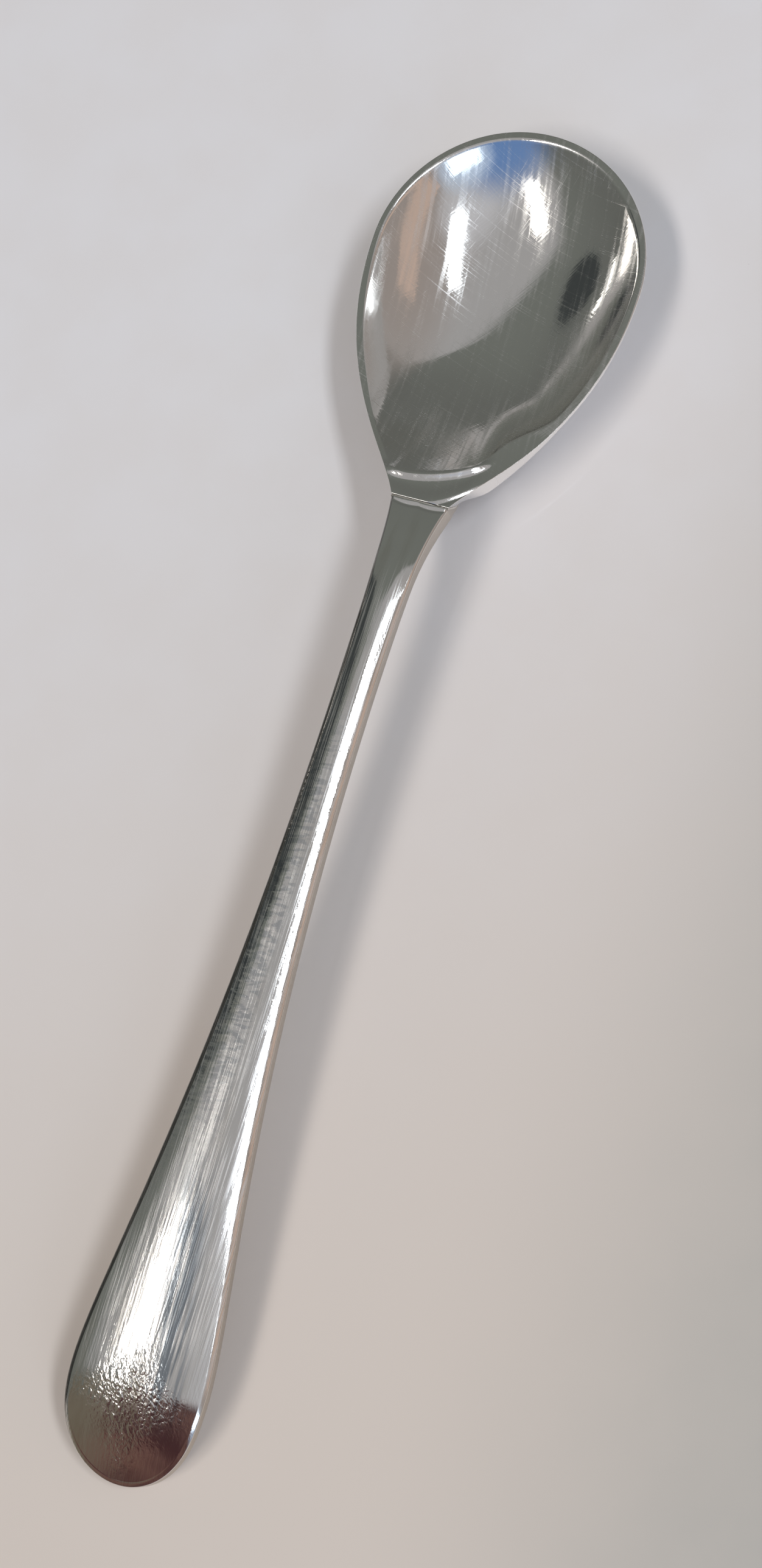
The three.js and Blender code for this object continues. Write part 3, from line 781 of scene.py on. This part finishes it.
def bevel_rise(plan, x, crown_slope, inward):
    """Rise that the bevels add to a crown of the given slope at their edges: what an even slope
    takes beyond that of the crown, which then levels out.
    """
    stem = plan.stem
    start = plan.seam - stem.crown_start
    run_out = plan.end + stem.bevel_end
    shown = smooth(x, run_out, run_out + stem.bevel_fade)
    shown = shown * (1 - smooth(x, start - stem.crown_run, start))
    t = np.clip((inward - stem.bevel_width) / stem.bevel_blend, 0, 1)
    level = np.minimum(inward, stem.bevel_width) + stem.bevel_blend * (t - t**3 + t**4 / 2)
    return np.clip(stem.bevel_slope - crown_slope, 0, None) * shown * level


def half_rings(top, shoulder, corner, wall_top, wall_end, lower_corner, under):
    """Half sections as rings: upper face, a chamfer whose middle third stays flat, side wall,
    rounded lower edge, under face.
    """
    over = eased(top[-1], shoulder, lerp(shoulder, corner, 1 / 3), EDGE_RINGS)
    beside = eased(lerp(shoulder, corner, 2 / 3), corner, wall_top, EDGE_RINGS)
    below = eased(wall_end, lower_corner, under[0], EDGE_RINGS)
    return np.concatenate([top[:-1], over, beside, below, under[1:]]).swapaxes(0, 1)


def stem_rows(plan):
    """Half sections along the stem, from its end to the seam."""
    stem, bowl, joint = plan.stem, plan.bowl, plan.joint
    outline, inward = stem_outline(plan)
    x, half = outline.T
    near = np.clip(1 - (plan.front - x) / joint.groove_round, 0, 1)
    lift = upper_edge(plan, x, stem.chamfer_drop, 0)
    upper = plan.edge_height(x) + lift - joint.groove * (1 - np.sqrt(1 - near**2))
    lower = lower_height(plan, x)
    edge_width = upper_edge(plan, x, stem.chamfer_width, bowl.outer_round)
    edge_drop = upper_edge(plan, x, stem.chamfer_drop, bowl.outer_round)
    lower_round = np.minimum(stem.lower_round, ROUND_MOST * (upper - lower))

    shoulder = outline + inward * edge_width[:, None]
    start = shoulder + inward * stem.arris
    bevelled = stem.bevel_width + stem.bevel_blend
    inner = np.clip(shoulder[:, 1] - bevelled, FACE_KEPT * start[:, 1], None)
    middle = np.linspace(0, 1, CROWN_STEPS + 1)[:-1, None] * inner
    side = lerp(inner, start[:, 1], np.linspace(0, 1, BEVEL_STEPS + 1)[:, None])
    y = np.concatenate([middle, side])
    q = np.divide(y, shoulder[:, 1], out=np.ones_like(y), where=shoulder[:, 1] > WELD)
    crown = crown_arc(plan, x, half)
    crown_slope = np.divide(2 * crown, shoulder[:, 1], out=np.zeros_like(x), where=shoulder[:, 1] > WELD)
    rise = crown * (1 - q**2) + bevel_rise(plan, x, crown_slope, shoulder[:, 1] - y)
    top_x = start[:, 0] + 0 * y
    top = np.stack([top_x, y, upper + rise + plan.relief(top_x, y)], axis=-1)
    corner = upper - edge_drop + plan.relief(x, half)

    under_start = outline + inward * lower_round[:, None]
    y = np.linspace(1, 0, CROWN_STEPS + 1)[:, None] * under_start[:, 1]
    q = np.divide(y, half, out=np.zeros_like(y), where=half > WELD)
    under = np.stack([under_start[:, 0] + 0 * y, y, lower - keel_depth(plan, x) * (1 - q**2)], axis=-1)
    return half_rings(
        top,
        raised(shoulder, upper + plan.relief(shoulder[:, 0], shoulder[:, 1])),
        raised(outline, corner),
        raised(outline, corner - stem.arris),
        raised(outline, lower + lower_round),
        raised(outline, lower),
        under,
    )


def drop_rows(plan):
    """Half sections of the drop: its upper face lies on the solder, and its depth runs out."""
    joint = plan.joint
    face, out = plan.joint_surface(np.linspace(0, 1, CROWN_STEPS + BEVEL_STEPS + 1), joint.solder)
    top = face.swapaxes(0, 1)
    edge = top[-1]
    fall = np.linspace(0, 1, SCARF_STEPS + 1)
    at_seam = lower_height(plan, plan.front)
    scarf_lower = lerp(at_seam, edge[SCARF_STEPS, 2] - joint.drop_edge, fall)
    drop_out = out[SCARF_STEPS + 1 :, 0]
    drop_lower = edge[SCARF_STEPS + 1 :, 2] - lerp(joint.drop_edge, joint.drop_end_edge, drop_out)
    lower = np.concatenate([scarf_lower, drop_lower])
    lower_round = np.minimum(plan.stem.lower_round, ROUND_MOST * (edge[:, 2] - lower))
    places = edge[:, :2]
    y = np.linspace(1, 0, CROWN_STEPS + 1)[:, None] * (edge[:, 1] - lower_round)
    sag = joint.drop_depth * (1 - out[:, 0]) * (1 - (y / edge[:, 1]) ** 2)
    under = np.stack([edge[:, 0] + 0 * y, y, lower - sag], axis=-1)
    wall_end = raised(places, lower + lower_round)
    rows = half_rings(top, edge, edge, edge, wall_end, raised(places, lower), under)
    close = np.broadcast_to(rows[-1:, :1] * (1, 0, 1), rows[-1:].shape)
    return np.concatenate([rows, close])


def solder_rows(plan):
    """Rings round the film of solder, folded flat along its sunk upper edge and its far end."""
    joint = plan.joint
    across = np.linspace(-1, 1, 2 * SEAM_STEPS + 1)
    over, _ = plan.joint_surface(across, joint.fit)
    under, _ = plan.joint_surface(across, joint.solder - joint.fit)
    middle = (over + under) / 2
    rings = np.concatenate([over, under[:, ::-1]], axis=1)
    folded = np.concatenate([middle, middle[:, ::-1]], axis=1)
    return np.concatenate([folded[:1] - (0, 0, joint.fit), rings, folded[-1:]])


# Shaders


class Wiring:
    """Adds nodes to a shader tree and links them."""

    def __init__(self, tree):
        self.tree = tree

    def add(self, kind, inputs, **settings):
        """New node with its settings, and with values or other sockets at its inputs."""
        node = self.tree.nodes.new(kind)
        for key, value in settings.items():
            setattr(node, key, value)
        for key, value in inputs.items():
            self.plug(node.inputs[key], value)
        return node

    def plug(self, socket, value):
        """Links a socket, or sets its value."""
        if isinstance(value, bpy.types.NodeSocket):
            self.tree.links.new(value, socket)
        else:
            socket.default_value = value

    def math(self, operation, *values):
        """Arithmetic on numbers."""
        return self.add("ShaderNodeMath", dict(enumerate(values)), operation=operation).outputs[0]

    def ramp(self, value, low, high, start=0.0, finish=1.0):
        """Smooth step from start at low to finish at high."""
        inputs = {"Value": value, "From Min": low, "From Max": high, "To Min": start, "To Max": finish}
        return self.add("ShaderNodeMapRange", inputs, interpolation_type="SMOOTHSTEP").outputs["Result"]

    def product(self, first, *others):
        """Product of numbers."""
        for other in others:
            first = self.math("MULTIPLY", first, other)
        return first

    def stretch(self, value, start, full, fade, end, before=0.0, after=0.0):
        """Smooth stretch: 1 from full to fade, down to before at start and to after at end."""
        return self.product(self.ramp(value, start, full, before), self.ramp(value, end, fade, after))

    def mix(self, factor, a, b):
        """Mix of two colours."""
        a, b = (v if isinstance(v, bpy.types.NodeSocket) else (*v, 1) for v in (a, b))
        return self.add("ShaderNodeMix", {0: factor, 6: a, 7: b}, data_type="RGBA").outputs[2]

    def place(self):
        """Place on the object, in metres."""
        return self.add("ShaderNodeTexCoord", {}).outputs["Object"]

    def facing(self):
        """Direction in which the surface faces."""
        return self.add("ShaderNodeNewGeometry", {}).outputs["Normal"]

    def parts(self, vector):
        """The three parts of a vector."""
        return self.add("ShaderNodeSeparateXYZ", {0: vector}).outputs

    def grains(self, place, spread, degrees=0):
        """Place in grains of the given spread in millimetres, turned about the upright."""
        inputs = {
            "Vector": place,
            "Rotation": (0, 0, math.radians(degrees)),
            "Scale": tuple(s * MM for s in spread),
        }
        return self.add("ShaderNodeMapping", inputs, vector_type="TEXTURE").outputs[0]

    def noise(self, place, spread, degrees=0, detail=2.0):
        """Noise whose grains have the given spread in millimetres."""
        inputs = {"Vector": self.grains(place, spread, degrees), "Scale": 1.0, "Detail": detail}
        return self.add("ShaderNodeTexNoise", inputs).outputs["Fac"]

    def dents(self, place, spread, reach, kept):
        """Round dents, one in some cells of a Voronoi pattern: 1 in the middle, 0 outside."""
        inputs = {"Vector": self.grains(place, (spread,) * 3), "Scale": 1.0}
        cells = self.add("ShaderNodeTexVoronoi", inputs)
        chosen = self.math("LESS_THAN", self.parts(cells.outputs["Color"])[0], kept)
        return self.product(self.ramp(cells.outputs["Distance"], reach, 0.0), chosen)

    def total(self, *pairs):
        """Sum of values times weights."""
        whole = 0.0
        for value, weight in pairs:
            whole = self.math("MULTIPLY_ADD", value, weight, whole)
        return whole

    def bump(self, height):
        """Normal of a surface with the given small heights in metres."""
        return self.add("ShaderNodeBump", {"Height": height, "Distance": 1.0}).outputs[0]


def wired(name):
    """New material, its wiring and the inputs of its shader."""
    material = bpy.data.materials.new(name)
    material.use_nodes = True
    tree = material.node_tree
    return material, Wiring(tree), tree.nodes["Principled BSDF"].inputs


def metal(name, tone, roughness, normal=None):
    """Metal whose tone, roughness and normal are wired by the given functions."""
    material, wiring, inputs = wired(name)
    inputs["Metallic"].default_value = 1
    place = wiring.place()
    wiring.plug(inputs["Base Color"], tone(wiring, place))
    wiring.plug(inputs["Roughness"], roughness(wiring, place))
    if normal:
        wiring.plug(inputs["Normal"], normal(wiring, place))
    return material


def bowl_silver(finish):
    """Polished silver with smudges, polishing marks, a few pits and fine crossing scratches."""

    def tone(w, place):
        dull = w.ramp(w.noise(place, (7, 5, 5), detail=4.0), 0.5, 0.85, 0.0, finish.bowl_dulling)
        return w.mix(dull, finish.silver, finish.tarnish)

    def roughness(w, place):
        smudge = w.ramp(w.noise(place, (5, 3, 4), 35, 3.0), 0.4, 0.75)
        polish = w.ramp(w.noise(place, (8, 0.3, 5), 4, 3.0), 0.4, 0.7)
        one_way = w.ramp(w.noise(place, (7, 0.06, 4), 70, 3.0), 0.55, 0.75)
        other_way = w.ramp(w.noise(place, (5, 0.06, 4), -25, 3.0), 0.6, 0.8)
        return w.total(
            (smudge, finish.smudge_roughness),
            (polish, finish.polish_roughness),
            (w.math("MAXIMUM", one_way, other_way), finish.scratch_roughness),
            (1.0, finish.bowl_roughness),
        )

    def normal(w, place):
        return w.bump(
            w.total(
                (w.noise(place, (6, 0.16, 3), 62), finish.scratch_depth),
                (w.noise(place, (4, 0.13, 3), -38), finish.scratch_depth),
                (w.noise(place, (9, 9, 9)), finish.wave_depth),
                (w.dents(place, 4.5, 0.03, 0.35), -finish.pit_depth),
            )
        )

    return metal("bowl_silver", tone, roughness, normal)


def stem_silver(finish, wear):
    """Worn silver: lengthwise streaks, ripples across the middle, tarnish, creases and a few nicks, with
    painted reflection and shade in its colour: a bluish band on the terminal and in the ripples, a dark
    flank and darker side walls.
    """

    def spot(w, place):
        """Place from the handle's end and across the stem."""
        x, y, _ = w.parts(place)
        return w.math("SUBTRACT", x, CAD_BOX[0].x), y

    def creased(w, place):
        along, across = spot(w, place)
        away = w.math("ABSOLUTE", w.math("SUBTRACT", along, wear.crease_place))
        away = w.math("ADD", away, w.math("ABSOLUTE", across))
        return w.ramp(away, wear.crease_reach, wear.crease_core)

    def terminal(w, place):
        return w.ramp(spot(w, place)[0], wear.streak_end, wear.streak_fade)

    def rippled(w, place):
        bounds = wear.ripple_start, wear.ripple_full, wear.ripple_fade, wear.ripple_end
        return w.stretch(spot(w, place)[0], *bounds)

    # Mask of the painted bluish reflection: a band along the terminal and marks in the ripples
    def painted_reflection(w, place):
        along, across = spot(w, place)
        line = w.math("MULTIPLY_ADD", along, -wear.reflection_slant, across)
        away = w.math("ABSOLUTE", w.math("SUBTRACT", line, wear.reflection_aside))
        band = w.product(
            w.ramp(away, wear.reflection_reach, wear.reflection_core),
            w.stretch(along, wear.reflection_start, wear.reflection_full, wear.reflection_fade, wear.reflection_end),
            w.ramp(w.noise(place, (5, 0.35, 2), detail=3.0), 0.35, 0.55),
        )
        ripples = w.product(
            w.ramp(w.noise(place, (0.25, 0.8, 5), 8, 1.0), 0.45, 0.58, 0.0, finish.ripple_reflection),
            w.ramp(across, wear.ripple_edge, wear.ripple_inside),
            rippled(w, place),
        )
        return w.math("MAXIMUM", band, ripples)

    def side(w):
        return w.ramp(w.math("ABSOLUTE", w.parts(w.facing())[2]), *SIDE_FACING)

    def tone(w, place):
        dull = w.ramp(w.noise(place, (8, 1.2, 4), detail=4.0), 0.45, 0.8, 0.0, finish.stem_dulling)
        face = w.mix(dull, finish.silver, finish.tarnish)
        # Painted reflection: bluish band on the terminal and bluish marks in the ripples
        face = w.mix(painted_reflection(w, place), face, finish.painted_reflection)
        # Painted shade: the chamfer and walls that face +Y turn dark
        face = w.mix(w.ramp(w.parts(w.facing())[1], *PAINTED_EDGE_FACING), face, finish.edge)
        # Side walls: partly real tarnish, partly painted shade
        return w.mix(side(w), face, finish.side)

    def roughness(w, place):
        fine = w.ramp(w.noise(place, (5, 0.07, 2), detail=4.0), 0.42, 0.62)
        bounds = wear.brushed_start, wear.brushed_full, wear.brushed_fade, wear.brushed_end
        shown = w.stretch(spot(w, place)[0], *bounds, wear.brushed_before, wear.brushed_after)
        face = w.total(
            (w.product(fine, shown), finish.brushed_roughness),
            (terminal(w, place), finish.terminal_roughness - finish.stem_roughness),
            (creased(w, place), finish.worn_roughness),
            (1.0, finish.stem_roughness),
        )
        return w.math("MAXIMUM", face, w.product(side(w), finish.side_roughness))

    def normal(w, place):
        ripple = w.product(w.noise(place, (0.55, 1.6, 5)), rippled(w, place))
        streak = w.product(w.noise(place, (4, 0.22, 1.2), detail=4.0), terminal(w, place))
        fold = w.math("SUBTRACT", w.noise(place, (0.65, 0.4, 0.65), 30, 2.0), 0.5)
        crease = w.product(w.math("ABSOLUTE", fold), creased(w, place))
        return w.bump(
            w.total(
                (w.noise(place, (3, 0.2, 1)), finish.scratch_depth),
                (w.noise(place, (2.5, 0.14, 2), 24), finish.scratch_depth),
                (streak, finish.streak_depth),
                (ripple, finish.ripple_depth),
                (w.noise(place, (6, 3, 6)), finish.wave_depth),
                (crease, finish.crease_depth),
                (w.dents(place, 3.5, 0.05, 0.3), -finish.nick_depth),
            )
        )

    return metal("stem_silver", tone, roughness, normal)


def solder_silver(finish):
    """Solder that was filed flush, with short file marks."""

    def tone(w, place):
        return w.mix(w.noise(place, (0.5, 0.3, 0.5)), finish.solder, finish.tarnish)

    def roughness(w, place):
        marks = w.noise(place, (0.2, 1, 0.2))
        return w.total((marks, finish.file_roughness), (1.0, finish.solder_roughness))

    return metal("solder_silver", tone, roughness)


def table_top(stage):
    """Pale, slightly glossy table top with painted shade in its tones (darker and warmer towards the
    handle's end, darker towards its -Y side), a fine grain and a few dark specks.
    """
    material, w, inputs = wired("table_top")
    place = w.place()
    x, y, _ = w.parts(place)
    along = w.math("MULTIPLY_ADD", y, stage.table_slant, x)
    half = stage.table_spread / 2
    # Painted shade: a blend towards the darker, warmer tone near the handle's end
    tone = w.mix(w.ramp(along, half, -half), stage.table, stage.table_near)
    # Painted shade: darker towards the -Y side
    tone = w.mix(w.ramp(y, stage.shade_start, stage.shade_full), tone, stage.table_shade)
    mottle = w.ramp(w.noise(place, (6, 6, 6), detail=5.0), 0.3, 0.7, 0.0, stage.mottle)
    tone = w.mix(mottle, tone, stage.table_near)
    specks = w.product(w.dents(place, 5, 0.02, 0.25), stage.speck_strength)
    w.plug(inputs["Base Color"], w.mix(specks, tone, stage.speck))
    inputs["Roughness"].default_value = stage.table_roughness
    inputs["Coat Weight"].default_value = stage.coat
    inputs["Coat Roughness"].default_value = stage.coat_roughness
    grain = w.noise(place, (0.5, 0.5, 0.5), detail=3.0)
    w.plug(inputs["Coat Normal"], w.bump(w.product(grain, stage.grain_depth)))
    return material


def flag_cloth(stage):
    """Dark brown cloth with a soft unevenness, which thins out towards its edges."""
    material, w, inputs = wired("flag_cloth")
    place = w.place()
    _, y, z = w.parts(place)
    shade = w.ramp(w.noise(place, (12, 12, 12), detail=3.0), 0.3, 0.7)
    brown = w.mix(shade, stage.flag, stage.flag_dark)
    aside = w.ramp(y, stage.flag_side_start, stage.flag_side_full)
    w.plug(inputs["Base Color"], w.mix(aside, brown, stage.flag_side))
    inputs["Roughness"].default_value = stage.flag_roughness
    half, top = stage.flag_width / 2, stage.flag_height
    beside = w.ramp(w.math("ABSOLUTE", y), half, half - stage.flag_fade)
    upright = w.stretch(z, 0.0, stage.flag_foot_fade, top - stage.flag_fade, top)
    w.plug(inputs["Alpha"], w.product(beside, upright))
    return material


def sheet(name, corners, material):
    """Flat sheet of the stage."""
    mesh = bpy.data.meshes.new(name)
    mesh.from_pydata(corners, [], [(0, 1, 2, 3)])
    mesh.materials.append(material)
    piece = placed(name, mesh)
    return piece


def surroundings(stage):
    """Dim room: a grey ceiling, warm to one side, cool and dark to others, and plain to the camera."""
    world = bpy.data.worlds.new("surroundings")
    world.use_nodes = True
    w = Wiring(world.node_tree)
    where = w.add("ShaderNodeTexCoord", {}).outputs["Generated"]

    def cone(toward, whole, gone):
        inputs = {0: where, 1: Vector(toward).normalized()}
        facing = w.add("ShaderNodeVectorMath", inputs, operation="DOT_PRODUCT").outputs["Value"]
        return w.ramp(facing, math.cos(math.radians(gone)), math.cos(math.radians(whole)))

    tone = stage.room
    for patch, *cones in ROOM_PATCHES.values():
        tone = w.mix(w.product(*(cone(*bounds) for bounds in cones)), tone, patch)
    seen = w.add("ShaderNodeLightPath", {}).outputs["Is Camera Ray"]
    tone = w.mix(seen, tone, stage.backdrop)
    w.plug(world.node_tree.nodes["Background"].inputs["Color"], tone)
    return world


def softbox(name, spread, radiance, tint):
    """Rectangular light of an even radiance over its face, which the camera itself doesn't see."""
    light = bpy.data.lights.new(name, "AREA")
    light.shape = "RECTANGLE"
    light.size, light.size_y = spread
    light.energy = radiance * math.pi * spread[0] * spread[1]
    light.color = tint
    lamp = placed(name, light)
    lamp.visible_camera = False
    return lamp


def strip_light(stage, name, across, tint):
    """Long light over the table, at a place given over its height. Part of it lights the dull
    table only, so that the silver mirrors the rest without a glare.
    """
    height = stage.light_height
    spread = (stage.light_length * height, stage.light_width * height)
    for part, radiance, mirrored in (("shown", stage.radiance, True), ("fill", stage.fill, False)):
        lamp = softbox(f"{name}_{part}", spread, radiance, tint)
        lamp.location = (across[0] * height, across[1] * height, height)
        lamp.rotation_euler = (0, 0, stage.light_turn)
        lamp.visible_glossy = mirrored


def side_card(name, place, spread, radiance, tint):
    """Light beside the table, turned to the bowl."""
    lamp = softbox(name, spread, radiance, tint)
    lamp.location = place
    lamp.rotation_euler = (Vector(CARD_AIM) - Vector(place)).to_track_quat("-Z", "Y").to_euler()


def photo_camera(stage):
    """Camera at its place, turned about the upright, then leaned and turned about its own axis."""
    eye = bpy.data.cameras.new("camera")
    eye.lens = stage.lens
    eye.sensor_width = stage.sensor
    eye.clip_start = stage.near
    camera = placed("camera", eye)
    camera.location = stage.eye
    turned = Matrix.Rotation(stage.yaw, 3, "Z") @ Matrix.Rotation(stage.tilt, 3, "X")
    camera.rotation_euler = (turned @ Matrix.Rotation(stage.roll, 3, "Z")).to_euler()
    return camera


# Operators


class SPOON_OT_bowl(bpy.types.Operator):
    """Makes the bowl"""

    bl_idname = "salt_spoon.bowl"
    bl_label = "Bowl"

    def execute(self, context):
        spoon = context.scene.salt_spoon
        piece = skin("silver_bowl", bowl_rows(Plan(spoon)), bowl_silver(spoon.finish))
        ride_as(piece, "bowl")
        return {"FINISHED"}


class SPOON_OT_stem(bpy.types.Operator):
    """Makes the stem with its drop"""

    bl_idname = "salt_spoon.stem"
    bl_label = "Stem"

    def execute(self, context):
        spoon = context.scene.salt_spoon
        plan = Plan(spoon)
        rows = closed_rings(np.concatenate([stem_rows(plan), drop_rows(plan)]))
        piece = skin("silver_stem", rows, stem_silver(spoon.finish, spoon.wear))
        ride_as(piece, "stem")
        return {"FINISHED"}


class SPOON_OT_solder(bpy.types.Operator):
    """Makes the film of solder in the seam"""

    bl_idname = "salt_spoon.solder"
    bl_label = "Solder"

    def execute(self, context):
        spoon = context.scene.salt_spoon
        piece = skin("solder_film", solder_rows(Plan(spoon)), solder_silver(spoon.finish))
        ride_as(piece, "solder_seam")
        return {"FINISHED"}


class SPOON_OT_stage(bpy.types.Operator):
    """Makes the table, the lights and the camera"""

    bl_idname = "salt_spoon.stage"
    bl_label = "Stage"

    def execute(self, context):
        scene = context.scene
        stage = scene.salt_spoon.stage
        corners = np.array([(-1, -1, 0), (1, -1, 0), (1, 1, 0), (-1, 1, 0)])
        sheet("table", corners * stage.table_half, table_top(stage))
        up = (corners[:, :1] + 1) / 2
        foot = corners * (0, stage.flag_width / 2, 0) + (CAD_BOX[0].x - stage.flag_away, 0, 0)
        flag = sheet("flag", foot + up * (stage.flag_lean, 0, stage.flag_height), flag_cloth(stage))
        flag.visible_camera = flag.visible_diffuse = flag.visible_shadow = False

        scene.world = surroundings(stage)
        for name, strip in STRIP_LIGHTS.items():
            strip_light(stage, name, *strip)
        for name, card in SIDE_CARDS.items():
            side_card(name, *card)
        scene.camera = photo_camera(stage)
        scene.view_settings.view_transform = "Standard"
        return {"FINISHED"}


class SPOON_PT_panel(bpy.types.Panel):
    """Lists the sizes and the makers of the spoon"""

    bl_idname = "SPOON_PT_panel"
    bl_label = "Salt spoon"
    bl_space_type = "VIEW_3D"
    bl_region_type = "UI"
    bl_category = "Salt spoon"

    def draw(self, context):
        spoon = context.scene.salt_spoon
        for operator in (SPOON_OT_bowl, SPOON_OT_stem, SPOON_OT_solder, SPOON_OT_stage):
            self.layout.operator(operator.bl_idname)
        for group in (spoon.bowl, spoon.stem, spoon.joint, spoon.finish, spoon.wear, spoon.stage):
            box = self.layout.box()
            for name in group.__annotations__:
                box.prop(group, name)


CLASSES = (
    BowlSizes,
    StemSizes,
    JointSizes,
    SilverFinish,
    StemWear,
    StageSetup,
    SaltSpoon,
    SPOON_OT_bowl,
    SPOON_OT_stem,
    SPOON_OT_solder,
    SPOON_OT_stage,
    SPOON_PT_panel,
)


def register():
    for cls in CLASSES:
        bpy.utils.register_class(cls)
    bpy.types.Scene.salt_spoon = PointerProperty(type=SaltSpoon)


def unregister():
    del bpy.types.Scene.salt_spoon
    for cls in reversed(CLASSES):
        bpy.utils.unregister_class(cls)


def main():
    register()
    bpy.ops.salt_spoon.bowl()
    bpy.ops.salt_spoon.stem()
    bpy.ops.salt_spoon.solder()
    bpy.ops.salt_spoon.stage()


if __name__ == "__main__":
    main()
